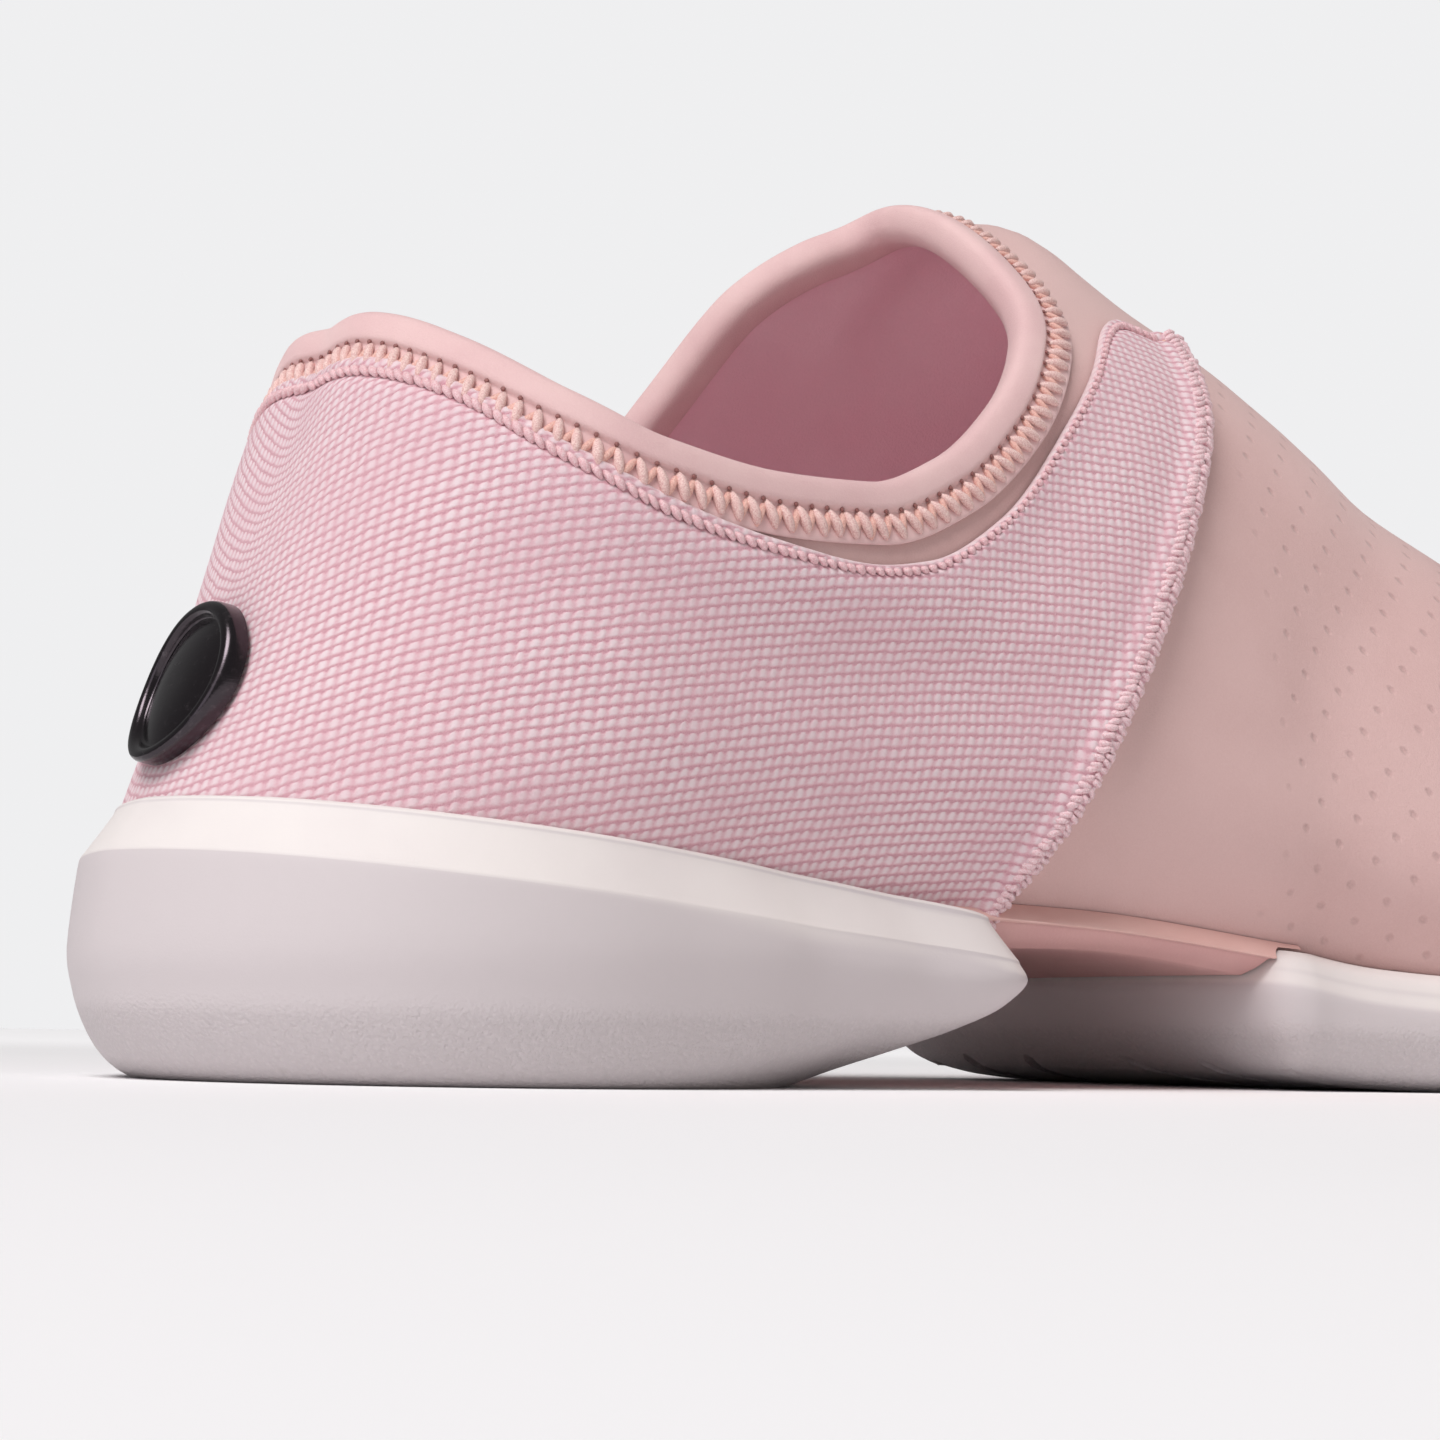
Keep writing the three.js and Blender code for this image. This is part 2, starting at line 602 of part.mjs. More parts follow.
// The woven overlay: between two grown lasts, inside its side view and clear of the throat. Its space is the
// same form with a gap all round, for cutting the pieces below it.
const QUARTER_OUTSIDE = GAP + QUARTER_THICKNESS;
const SEAM_OUTSIDE = QUARTER_OUTSIDE + SEAM_RISE;
const SEAM_STEPS = 12;
const QUARTER_STEPS = 36;
const quarterEnd = QUARTER_TOP[QUARTER_TOP.length - 1];
const seamLine = (foot, shift) => (
  sampled(foot, quarterEnd.z, SEAM_STEPS, (z) => ({ x: frontSeam(z) + shift, z })));
const quarterSide = (grow) => sidePrism([
  { x: BEHIND_HEEL, z: QUARTER_FOOT - grow },
  ...seamLine(QUARTER_FOOT - grow, grow),
  ...sampled(quarterEnd.x, BEHIND_HEEL, QUARTER_STEPS, (x) => ({ x, z: quarterTop(x) + grow })),
]);
const seamSide = (grow) => sidePrism([
  ...seamLine(SEAM_FOOT - grow, grow),
  ...seamLine(SEAM_FOOT - grow, -SEAM_WIDTH - grow).reverse(),
]);
const quarterSpace = last(QUARTER_OUTSIDE + GAP).intersect(quarterSide(GAP))
  .add(last(SEAM_OUTSIDE + GAP).intersect(seamSide(GAP)));
const throat = block(
  new THREE.Vector3(THROAT.start, THROAT.outer, THROAT.foot),
  new THREE.Vector3(THROAT.end, THROAT.inner, CUT_TOP),
);
const quarter = last(QUARTER_OUTSIDE).intersect(quarterSide(0))
  .add(last(SEAM_OUTSIDE).intersect(seamSide(0)))
  .subtract(last(GAP))
  .subtract(throat)
  .subtract(binding(GAP));

// The insole lies on the lasting margin, inside the upper.
const INSOLE_FOOT = WALL + 2 * GAP;
const INSOLE_BEVEL = { inward: 1.5, up: 1.2 };
const insole = solidOf(loft([
  levelSpine(INSOLE_FOOT),
  levelRing(INSOLE_INSET + INSOLE_BEVEL.inward, INSOLE_FOOT),
  levelRing(INSOLE_INSET, INSOLE_FOOT + INSOLE_BEVEL.up),
  levelRing(INSOLE_INSET, INSOLE_FOOT + INSOLE_THICKNESS),
  levelSpine(INSOLE_FOOT + INSOLE_THICKNESS),
], false));

// The heel unit's blank: its side levels blend from the plan at the lip to the plan at the floor.
function heelBlank(grow) {
  const rings = HEEL_WALL.map(({ toFloor, inset, up, wingUp, fromLip }) => (
    sampled(0, OUTLINE_POINTS - 1, OUTLINE_POINTS - 1, (i) => {
      const turn = (360 * i) / OUTLINE_POINTS;
      const angle = turn > 180 ? 360 - turn : turn;
      const lip = heelPlanLip(angle) * HALF_HEEL - inset;
      const reach = lip + (heelPlanFloor(angle) * HALF_HEEL - lip) * toFloor + grow;
      const x = PIVOT_X - reach * Math.cos(THREE.MathUtils.degToRad(turn));
      const y = -reach * Math.sin(THREE.MathUtils.degToRad(turn));
      const height = up + (wingUp - up) * heelPlanWing(angle);
      return new THREE.Vector3(x, y, fromLip ? heelLip(x) + height + grow : height);
    })));
  return solidOf(loft(rings));
}

// The forefoot unit's outline follows the last's feather edge, one welt outside it.
const FOREFOOT_CORNER = 5;
const FOREFOOT_ROUNDING = 1.4;
const FOREFOOT_BULGE = 0.8;
const FOREFOOT_SIDE_POINTS = 18;
const FOREFOOT_ROWS = [3, 8];
const alongLast = (place) => spine.along(place) * SHOE_LENGTH;
const forefootStart = bisect(...FOREFOOT_ROWS, (place) => alongLast(place) > FOREFOOT_BACK + FOREFOOT_CORNER);
const forefootOutline = (() => {
  const edge = (side) => (place) => {
    const at = station(side, place);
    return pointAt(at, at.foot + WELT, 0);
  };
  const outer = sampled(forefootStart, TOE, FOREFOOT_SIDE_POINTS, edge(OUTER));
  const inner = sampled(TOE, forefootStart, FOREFOOT_SIDE_POINTS, edge(INNER)).slice(1);
  const [outerEnd, innerEnd] = [outer[0], inner[inner.length - 1]];
  const back = [
    new THREE.Vector3(FOREFOOT_BACK + FOREFOOT_ROUNDING, innerEnd.y - FOREFOOT_ROUNDING, 0),
    new THREE.Vector3(FOREFOOT_BACK, innerEnd.y - FOREFOOT_CORNER, 0),
    new THREE.Vector3(FOREFOOT_BACK - FOREFOOT_BULGE, innerEnd.y / 3, 0),
    new THREE.Vector3(FOREFOOT_BACK - FOREFOOT_BULGE, outerEnd.y / 3, 0),
    new THREE.Vector3(FOREFOOT_BACK, outerEnd.y + FOREFOOT_CORNER, 0),
    new THREE.Vector3(FOREFOOT_BACK + FOREFOOT_ROUNDING, outerEnd.y + FOREFOOT_ROUNDING, 0),
  ];
  return [...outer, ...inner, ...back];
})();

// An outline moved in by a distance along its own normals.
function insetOutline(outline, inset) {
  return outline.map((point, i) => {
    const before = outline[(i + outline.length - 1) % outline.length];
    const after = outline[(i + 1) % outline.length];
    const along = after.clone().sub(before).normalize();
    return new THREE.Vector3(point.x - along.y * inset, point.y + along.x * inset, 0);
  });
}
const FOREFOOT_TOP_UP = 9;
function forefootBlank(grow) {
  const rings = FOREFOOT_WALL.map(({ inset, up }) => {
    const raised = up > FOREFOOT_TOP_UP ? up + grow : up;
    const outline = insetOutline(forefootOutline, inset - grow);
    return outline.map(({ x, y }) => new THREE.Vector3(x, y, forefootBottom(x) + raised));
  });
  return solidOf(loft(rings));
}
const BOTTOM_CUT = { from: 100, to: 270, top: 60, steps: 68 };
const aboveForefootBottom = sidePrism([
  ...sampled(BOTTOM_CUT.from, BOTTOM_CUT.to, BOTTOM_CUT.steps, (x) => ({ x, z: forefootBottom(x) })),
  { x: BOTTOM_CUT.to, z: BOTTOM_CUT.top },
  { x: BOTTOM_CUT.from, z: BOTTOM_CUT.top },
]);

// A pivot disc and the recess that it sits in.
function disc(depth, at) {
  const underside = DISC_PROFILE.map(({ r, up }) => ({ r: r * DISC_RADIUS, z: up * depth }));
  return turned([...underside, { r: DISC_RADIUS, z: depth }, { r: 0, z: depth }]).translate([at.x, at.y, 0]);
}
function recess(depth, at) {
  const radius = DISC_RADIUS + GAP;
  return turned([
    { r: 0, z: BELOW_FLOOR },
    { r: radius, z: BELOW_FLOOR },
    { r: radius, z: depth + GAP },
    { r: 0, z: depth + GAP },
  ]).translate([at.x, at.y, 0]);
}
const heelPivot = { x: PIVOT_X, y: 0 };
const ringGroove = turned([
  { r: GROOVE.inner, z: BELOW_FLOOR },
  { r: GROOVE.outer, z: BELOW_FLOOR },
  { r: GROOVE.outer, z: GROOVE.depth },
  { r: GROOVE.inner, z: GROOVE.depth },
  { r: GROOVE.inner, z: BELOW_FLOOR },
]).translate([heelPivot.x, heelPivot.y, 0]);

// One shallow arc round the forefoot's pivot, for pressing into its underside.
function arcGroove({ radius, from, to }) {
  const shape = new THREE.Shape();
  const [start, end] = [THREE.MathUtils.degToRad(from), THREE.MathUtils.degToRad(to)];
  shape.absarc(0, 0, radius + ARC_GROOVE_WIDTH / 2, start, end, false);
  shape.absarc(0, 0, radius - ARC_GROOVE_WIDTH / 2, end, start, true);
  const options = { depth: ARC_GROOVE_DEPTH - BELOW_FLOOR, bevelEnabled: false, curveSegments: 12 };
  const geometry = new THREE.ExtrudeGeometry(shape, options);
  geometry.translate(FOREFOOT_PIVOT.x, FOREFOOT_PIVOT.y, BELOW_FLOOR);
  return solidOf(geometry);
}

const heelSole = heelBlank(0)
  .subtract(last(GAP))
  .subtract(quarterSpace)
  .subtract(recess(HEEL_DISC_DEPTH, heelPivot))
  .subtract(ringGroove);

const forefootSole = ARC_GROOVES.reduce(
  (sole, arc) => sole.subtract(arcGroove(arc)),
  forefootBlank(0).intersect(aboveForefootBottom).subtract(last(GAP)),
).subtract(recess(FOREFOOT_DISC_DEPTH, FOREFOOT_PIVOT));

// The arch panel hugs the last's underside between the two units, up to a lip on each side.
const ARCH_BACK = 66;
const ARCH_FRONT = 120.5;
const ARCH_UNIT_GAP = 0.5;
const ARCH_TOP = [
  { x: ARCH_FRONT, z: 15 },
  { x: 92, z: 17.6 },
  { x: ARCH_BACK, z: 18 },
];
const archSpan = sidePrism([
  { x: ARCH_BACK, z: 0 },
  { x: ARCH_FRONT, z: 0 },
  ...ARCH_TOP,
]);
const archPanel = last(GAP + ARCH_THICKNESS)
  .subtract(last(GAP))
  .intersect(archSpan)
  .subtract(heelBlank(ARCH_UNIT_GAP))
  .subtract(forefootBlank(ARCH_UNIT_GAP))
  .subtract(quarterSpace);

// The badge is cut between two grown lasts by an oval pushed in from behind. Its field is lower than its rim.
const BADGE_REACH = 30;
function badgeOval(shrink) {
  const shape = new THREE.Shape();
  shape.absellipse(0, 0, BADGE.halfWidth - shrink, BADGE.halfHeight - shrink, 0, 2 * Math.PI, false, 0);
  const options = { depth: BADGE_REACH, bevelEnabled: false, curveSegments: 14 };
  const geometry = new THREE.ExtrudeGeometry(shape, options);
  geometry.rotateX(Math.PI / 2);
  geometry.rotateZ(Math.PI / 2);
  geometry.translate(BEHIND_HEEL, 0, BADGE.middle);
  return solidOf(geometry);
}
const badgeBack = QUARTER_OUTSIDE + GAP;
const badgeFace = last(badgeBack + BADGE.thickness);
const overField = badgeOval(BADGE.rim).subtract(badgeFace);
const heelBadge = last(badgeBack + BADGE.thickness + BADGE.rimRise)
  .subtract(last(badgeBack))
  .intersect(badgeOval(0))
  .subtract(overField);

// Every piece as a named mesh. The group is shifted so that its origin is under the middle of the shoe.
const shoe = new THREE.Group();
function addPiece(name, solid, material) {
  const mesh = new THREE.Mesh(geometryOf(solid), material);
  mesh.name = name;
  shoe.add(mesh);
}
addPiece('upper', upper, MATERIALS.smoothKnit);
addPiece('quarter', quarter, MATERIALS.canvas);
addPiece('collar_binding', binding(0), MATERIALS.binding);
addPiece('insole', insole, MATERIALS.lining);
addPiece('heel_sole', heelSole, MATERIALS.sole);
addPiece('heel_pivot_disc', disc(HEEL_DISC_DEPTH, heelPivot), MATERIALS.disc);
addPiece('arch_panel', archPanel, MATERIALS.arch);
addPiece('forefoot_sole', forefootSole, MATERIALS.sole);
addPiece('forefoot_pivot_disc', disc(FOREFOOT_DISC_DEPTH, FOREFOOT_PIVOT), MATERIALS.disc);
addPiece('heel_badge', heelBadge, MATERIALS.badge);
shoe.position.set(-SHOE_LENGTH / 2, 0, 0);

export default shoe;
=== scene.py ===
"""Split-sole slip-on dance sneaker for the right foot, seen from behind on its outer side.

Sizes are in millimetres in the shoe's own frame: x from the back of the heel to the toe, y to the inner side,
z up from the floor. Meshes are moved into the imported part's frame and into metres when they are made.
"""

import math

import bmesh
import bpy
import numpy as np
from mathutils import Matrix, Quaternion, Vector
from mathutils.bvhtree import BVHTree


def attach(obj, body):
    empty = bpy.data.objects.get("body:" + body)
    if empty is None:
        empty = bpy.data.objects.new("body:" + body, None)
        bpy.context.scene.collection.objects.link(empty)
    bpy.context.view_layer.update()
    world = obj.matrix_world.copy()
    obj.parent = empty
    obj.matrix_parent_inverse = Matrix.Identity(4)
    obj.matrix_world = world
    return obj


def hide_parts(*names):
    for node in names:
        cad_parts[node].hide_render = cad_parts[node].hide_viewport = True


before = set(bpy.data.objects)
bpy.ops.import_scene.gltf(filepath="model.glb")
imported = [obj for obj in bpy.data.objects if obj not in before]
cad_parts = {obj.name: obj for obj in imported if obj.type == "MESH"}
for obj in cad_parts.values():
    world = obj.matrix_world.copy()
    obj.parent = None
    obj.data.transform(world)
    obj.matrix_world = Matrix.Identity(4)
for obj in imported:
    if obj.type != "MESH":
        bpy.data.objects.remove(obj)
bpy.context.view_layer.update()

MM = 0.001
MIDDLE_X = 129.0

# Driving dimensions, walls and overlays, as in the part.
SHOE_LENGTH = 258.0
HALF_BALL = 43.0
INSTEP_HEIGHT = 82.0
HEEL_SEAT = 14.0
HALF_HEEL = 34.0
WALL = 2.0
GAP = 0.3
QUARTER_THICKNESS = 1.2
LASTING_MARGIN = 9.0
WELT = 4.2
FEATHER_RADIUS = 3.5
WALL_SPANS = 4
TOE = 10
OUTSIDE = QUARTER_THICKNESS + GAP


def table(names, *rows):
    """Columns of a short table by their names."""
    return dict(zip(names.split(), np.array(rows, float).T))


def rows_of(columns):
    return np.stack([*columns.values()], -1)


def named_rows(columns):
    """A table's rows, each with its values by their names."""
    return [dict(zip(columns, row)) for row in rows_of(columns)]


# The last's sections from the back of the heel to the toe, in shares of the driving dimensions.
SPINE = table(
    "along across turn seat ridge",
    (0.116, 0.00, -90, 1.00, 1.170),
    (0.120, 0.00, -48, 1.00, 1.170),
    (0.151, 0.00, -8, 1.00, 1.170),
    (0.236, 0.04, 0, 1.04, 1.150),
    (0.360, 0.14, 0, 1.13, 1.145),
    (0.457, 0.10, 0, 0.96, 1.080),
    (0.585, 0.08, 0, 0.66, 0.830),
    (0.694, 0.10, 2, 0.57, 0.660),
    (0.775, 0.14, 14, 0.61, 0.560),
    (0.816, 0.16, 50, 0.82, 0.530),
    (0.826, 0.16, 90, 1.00, 0.525),
)
OUTER_SIDE = table(
    "foot belly shoulder bellyUp shoulderUp",
    (0.555, 0.555, 0.25, 0.27, 0.70),
    (0.56, 0.565, 0.34, 0.29, 0.72),
    (0.62, 0.685, 0.60, 0.40, 0.76),
    (0.65, 0.74, 0.66, 0.42, 0.75),
    (0.76, 0.88, 0.67, 0.44, 0.90),
    (0.78, 0.88, 0.65, 0.37, 0.85),
    (1.00, 1.07, 0.72, 0.29, 0.67),
    (1.03, 1.09, 0.76, 0.26, 0.54),
    (0.98, 1.02, 0.74, 0.25, 0.48),
    (0.88, 0.91, 0.67, 0.28, 0.455),
    (0.94, 0.965, 0.68, 0.30, 0.45),
)
INNER_SIDE = table(
    "foot belly shoulder bellyUp shoulderUp",
    (0.555, 0.555, 0.25, 0.27, 0.70),
    (0.56, 0.565, 0.34, 0.29, 0.72),
    (0.62, 0.685, 0.60, 0.40, 0.76),
    (0.61, 0.72, 0.64, 0.42, 0.75),
    (0.47, 0.62, 0.47, 0.47, 0.91),
    (0.57, 0.68, 0.52, 0.39, 0.85),
    (0.73, 0.80, 0.57, 0.30, 0.68),
    (0.83, 0.87, 0.63, 0.27, 0.55),
    (0.82, 0.85, 0.62, 0.26, 0.49),
    (0.84, 0.87, 0.63, 0.28, 0.455),
    (0.94, 0.965, 0.68, 0.30, 0.45),
)

RIM_BACK = ((10, 71.6), (16, 70.8), (21, 68.2), (25, 64.2), (31, 58.8), (39, 55), (51, 53.4))
COLLAR_PEAK = (93, 93.9)
OUTER_RIM = table(
    "x z", *RIM_BACK, (62, 54), (72, 58), (82, 66), (88, 73.5), (91.4, 79.5), (92.6, 85.5), COLLAR_PEAK,
    (93.3, 112))
INNER_RIM = table(
    "x z", *RIM_BACK, (60, 55.5), (68, 63), (75, 75), (81, 86), (87, 91), COLLAR_PEAK, (98, 102))
QUARTER_TOP = table(
    "x z", (10, 68), (16, 67.2), (21, 64.6), (25, 60.6), (31, 55), (39, 51), (50, 48.4), (60, 47.4),
    (68, 48.6), (78, 54), (90, 66), (101, 78.5), (108, 88))
FRONT_SEAM = table("z x", (14, 78), (20, 82), (35, 91), (55, 102.5), (70, 110.5), (90, 117))
QUARTER_FOOT = 15.6
THROAT = {-1: -17.0, 1: 24.0}

PIVOT_X = 37.4
HEEL_PLAN = table(
    "angle lip floor wing",
    (0, 1.076, 0.865, 0),
    (45, 1.035, 0.865, 0),
    (90, 1.000, 0.865, 0),
    (115, 1.076, 0.871, 0.2),
    (132, 1.279, 0.882, 0.7),
    (143, 1.559, 0.897, 1),
    (150, 1.485, 0.912, 1),
    (162, 1.235, 0.941, 0.5),
    (180, 1.118, 0.971, 0),
)
HEEL_LIP = table("x z", (0, 25), (20, 22.6), (42, 20.4), (66, 17.6), (86, 15))
FOREFOOT_BACK = 114.5
FOREFOOT_BOTTOM = table(
    "x z", (108, 4.4), (118, 2.2), (128, 0.6), (138, 0), (200, 0), (215, 0.9), (230, 3.2), (245, 6.6),
    (262, 11.4))
DISC_RADIUS = 21.0
FOREFOOT_PIVOT = (172.0, 1.0)


def smooth(keys, values):
    """A smooth curve through a table's values that never overshoots them."""
    keys, values = np.asarray(keys, float), np.asarray(values, float)
    slopes = np.diff(values) / np.diff(keys)
    before, after = np.r_[slopes[0], slopes], np.r_[slopes, slopes[-1]]
    product = before * after
    total = np.where(product > 0, before + after, 1)
    tangents = np.where(product > 0, 2 * product / total, 0)

    def at(x):
        x = np.asarray(x, float)
        i = np.clip(np.searchsorted(keys, x, side="right") - 1, 0, len(keys) - 2)
        step = keys[i + 1] - keys[i]
        t = np.clip((x - keys[i]) / step, 0, 1)
        rise = t * t * (3 - 2 * t)
        leave = t * (1 - t) ** 2 * step
        arrive = t * t * (t - 1) * step
        return values[i] + rise * (values[i + 1] - values[i]) + leave * tangents[i] + arrive * tangents[i + 1]

    return at


def curve(columns, key, name):
    return smooth(columns[key], columns[name])


def along_spine(values, mirrored=lambda value, end: value):
    """A row's value at any place along the spine, mirrored past both ends so that the two sides meet."""
    keys = np.arange(-1, TOE + 2)
    return smooth(keys, [mirrored(values[1], -1), *values, mirrored(values[TOE - 1], 1)])


quarter_top = curve(QUARTER_TOP, "x", "z")
front_seam = curve(FRONT_SEAM, "z", "x")
heel_lip = curve(HEEL_LIP, "x", "z")
forefoot_bottom = curve(FOREFOOT_BOTTOM, "x", "z")
HEEL_PLAN_AT = {name: curve(HEEL_PLAN, "angle", name) for name in ("lip", "floor", "wing")}
SPINE_AT = {name: along_spine(values) for name, values in SPINE.items()}
SPINE_AT["turn"] = along_spine(SPINE["turn"], lambda value, end: end * 180 - value)


def side_of(sign, columns, rim):
    return {"sign": sign, "rim": curve(rim, "x", "z"), **{n: along_spine(v) for n, v in columns.items()}}


OUTER = side_of(-1, OUTER_SIDE, OUTER_RIM)
INNER = side_of(1, INNER_SIDE, INNER_RIM)
SIDES = (OUTER, INNER)


def station(side, place):
    """Where a section stands: its spine point, the level direction of its half, its seat, ridge and foot."""
    turn = np.radians(SPINE_AT["turn"](place))
    return {
        "x": SPINE_AT["along"](place) * SHOE_LENGTH,
        "y": SPINE_AT["across"](place) * HALF_BALL,
        "dx": np.sin(turn),
        "dy": side["sign"] * np.cos(turn),
        "seat": SPINE_AT["seat"](place) * HEEL_SEAT,
        "ridge": SPINE_AT["ridge"](place) * INSTEP_HEIGHT,
        "foot": side["foot"](place) * HALF_BALL,
    }


def point_at(at, reach, z):
    return np.stack(np.broadcast_arrays(at["x"] + reach * at["dx"], at["y"] + reach * at["dy"], z), -1)


def last_point(side, place, share):
    """Point of the last at a place along the spine and a share up the wall, from its foot to the ridge."""
    place, share = np.broadcast_arrays(np.asarray(place, float), np.asarray(share, float))
    at = station(side, place)
    foot, seat = at["foot"], at["seat"]
    belly, shoulder = (side[name](place) * HALF_BALL for name in ("belly", "shoulder"))
    belly_z, shoulder_z = (side[name](place) * INSTEP_HEIGHT for name in ("bellyUp", "shoulderUp"))
    reaches = np.stack(
        [foot - 2 * FEATHER_RADIUS, foot - FEATHER_RADIUS, foot, belly, shoulder, 0 * foot, -shoulder], -1)
    heights = np.stack([seat, seat, seat + FEATHER_RADIUS, belly_z, shoulder_z, at["ridge"], shoulder_z], -1)
    span = 1 + share * WALL_SPANS
    i = np.clip(np.floor(span).astype(int), 1, WALL_SPANS)
    t = span - i

    def through(values):
        p0, p1, p2, p3 = (np.take_along_axis(values, (i + k)[..., None], -1)[..., 0] for k in (-1, 0, 1, 2))
        leave, arrive = (p2 - p0) / 2, (p3 - p1) / 2
        cube = 2 * p1 - 2 * p2 + leave + arrive
        square = 3 * p2 - 3 * p1 - 2 * leave - arrive
        return cube * t**3 + square * t**2 + leave * t + p1

    return point_at(at, through(reaches), through(heights))


def unit(vectors):
    return vectors / np.maximum(np.linalg.norm(vectors, axis=-1, keepdims=True), 1e-12)


def last_normal(side, place, share):
    step = 0.002
    up = last_point(side, place, share + step) - last_point(side, place, np.maximum(share - step, 0))
    on = last_point(side, place + step, share) - last_point(side, place - step, share)
    return unit(side["sign"] * np.cross(up, on))


# Soft forms of the worn cloth: centre in the side view, direction and reach of the crease,
# its height out of the surface (troughs below zero), and the side it lies on (-1 outer, 1 inner, 0 both).
CREASES = table(
    "x z angle length width height side",
    (104, 94, -20, 10, 8, 3.4, 0),
    (99, 93, 62, 9, 3.5, -0.9, 0),
    (66, 38, -8, 26, 5.5, -0.7, -1),
    (60, 45, -4, 22, 4.5, 0.5, -1),
    (28, 42, 20, 20, 6, -0.5, -1),
    (88, 60, 52, 18, 4, -0.6, -1),
    (94, 48, 60, 22, 5, 0.5, -1),
    (132, 55, 50, 22, 6, -0.9, 0),
    (146, 50, 48, 22, 6, 0.7, 0),
    (168, 40, 62, 16, 5, -0.9, 0),
    (182, 36, 66, 15, 5, -0.7, 0),
    (62, 38, -6, 24, 6, -0.6, 1),
    (30, 44, 18, 18, 6, -0.4, 1),
)


def creased(points, sign):
    """How far the surface stands out of the last at these points."""
    out = np.zeros(points.shape[:-1])
    for row in named_rows(CREASES):
        if row["side"] * sign < 0:
            continue
        angle = math.radians(row["angle"])
        dx, dz = points[..., 0] - row["x"], points[..., 2] - row["z"]
        on = (dx * math.cos(angle) + dz * math.sin(angle)) / row["length"]
        off = (dz * math.cos(angle) - dx * math.sin(angle)) / row["width"]
        out += row["height"] * np.exp(-on**2 - off**2)
    return out


def skin(side, place, share, grow=0.0):
    """The worn upper's surface, moved out by a distance along its normals, and those normals."""
    bare = last_point(side, place, share)
    normal = last_normal(side, place, share)
    out = creased(bare, side["sign"]) + grow
    return bare + normal * np.asarray(out)[..., None], normal


def bisect(low, high, above):
    """Where above turns true between low and high, for all its values at once."""
    for _ in range(40):
        middle = (low + high) / 2
        over = above(middle)
        high = np.where(over, middle, high)
        low = np.where(over, low, middle)
    return (low + high) / 2


def over_line(side, place, share, line):
    point = last_point(side, place, share)
    return point[..., 2] - line(point[..., 0])


# The rim's places and shares: along the sides by place up to its turn, in front by height.
RIM_TURN = 3.6
RIM_SIDE_SHARE = 0.62
RIM_FRONT = (3.2, 5.0)


def rim_line(side, along):
    rim = side["rim"]
    side_place = np.minimum(RIM_TURN * along / RIM_SIDE_SHARE, RIM_TURN)
    share = bisect(0.3, 1.0, lambda s: over_line(side, side_place, s, rim) > 0)
    climb = np.clip((along - RIM_SIDE_SHARE) / (1 - RIM_SIDE_SHARE), 0, 1)
    front_share = share[-1] + (1 - share[-1]) * climb
    front_place = bisect(*RIM_FRONT, lambda p: over_line(side, p, front_share, rim) < 0)
    on_side = along < RIM_SIDE_SHARE
    return np.where(on_side, side_place, front_place), np.where(on_side, share, front_share)


# How cloth lies on the last: lengths along it from the heel's middle, and up or down it along the sections.
PLACES = np.linspace(0, TOE, 241)
SHARES = np.linspace(0, 1, 121)
MIDDLE_SHARE = 50


def distances(points, axis=0):
    """Lengths along rows of points, from zero."""
    steps = np.cumsum(np.linalg.norm(np.diff(points, axis=axis), axis=-1), axis=axis)
    return np.insert(steps, 0, 0, axis=axis)


def lengths(side):
    points = last_point(side, PLACES[:, None], SHARES)
    return distances(points[:, MIDDLE_SHARE]), distances(points, 1)


LENGTHS = {side["sign"]: lengths(side) for side in SIDES}


def girth(side, place, share):
    """Length up a section from its foot to a share of its wall."""
    up = LENGTHS[side["sign"]][1]
    p = np.clip(np.asarray(place, float) / TOE, 0, 1) * (len(PLACES) - 1)
    s = np.clip(np.asarray(share, float), 0, 1) * (len(SHARES) - 1)
    i, j = np.minimum(p.astype(int), len(PLACES) - 2), np.minimum(s.astype(int), len(SHARES) - 2)
    a, b = p - i, s - j
    behind = (1 - b) * up[i, j] + b * up[i, j + 1]
    ahead = (1 - b) * up[i + 1, j] + b * up[i + 1, j + 1]
    return (1 - a) * behind + a * ahead


# The canvas is pulled askew on the last: its rows climb from the heel towards the toe, steeply at first, and
# its columns lean forward.
ROW_CLIMB = 0.40
CLIMB_LOSS = 0.0021
BACK_ROUNDING = 12.0
COLUMN_LEAN = 0.17
LEAN_ROUNDING = 32.0


def cloth_from_foot(side, place, share):
    on = np.interp(place, PLACES, LENGTHS[side["sign"]][0])
    up = girth(side, place, share)
    from_back = np.sqrt(on**2 + BACK_ROUNDING**2) - BACK_ROUNDING
    row = up - ROW_CLIMB * from_back + CLIMB_LOSS * on**2
    lean = COLUMN_LEAN * up * np.clip(on / LEAN_ROUNDING, 0, 1)
    return np.stack([(on - lean) * side["sign"], row, 0 * on], -1)


def cloth_from_ridge(side, place, share):
    on = SPINE_AT["along"](place) * SHOE_LENGTH
    down = (girth(side, place, np.ones_like(share)) - girth(side, place, share)) * side["sign"]
    return np.stack([on, down, 0 * on], -1)


# Making meshes.
def grid_faces(rows, columns, wrap=False, flip=False):
    """Quads between rows of points, each row numbered after the one before it."""
    i = np.arange(rows - 1)[:, None] * columns
    j = np.arange(columns if wrap else columns - 1)
    k = (j + 1) % columns
    quads = np.stack([i + j, i + k, i + columns + k, i + columns + j], -1).reshape(-1, 4)
    return quads[:, ::-1] if flip else quads


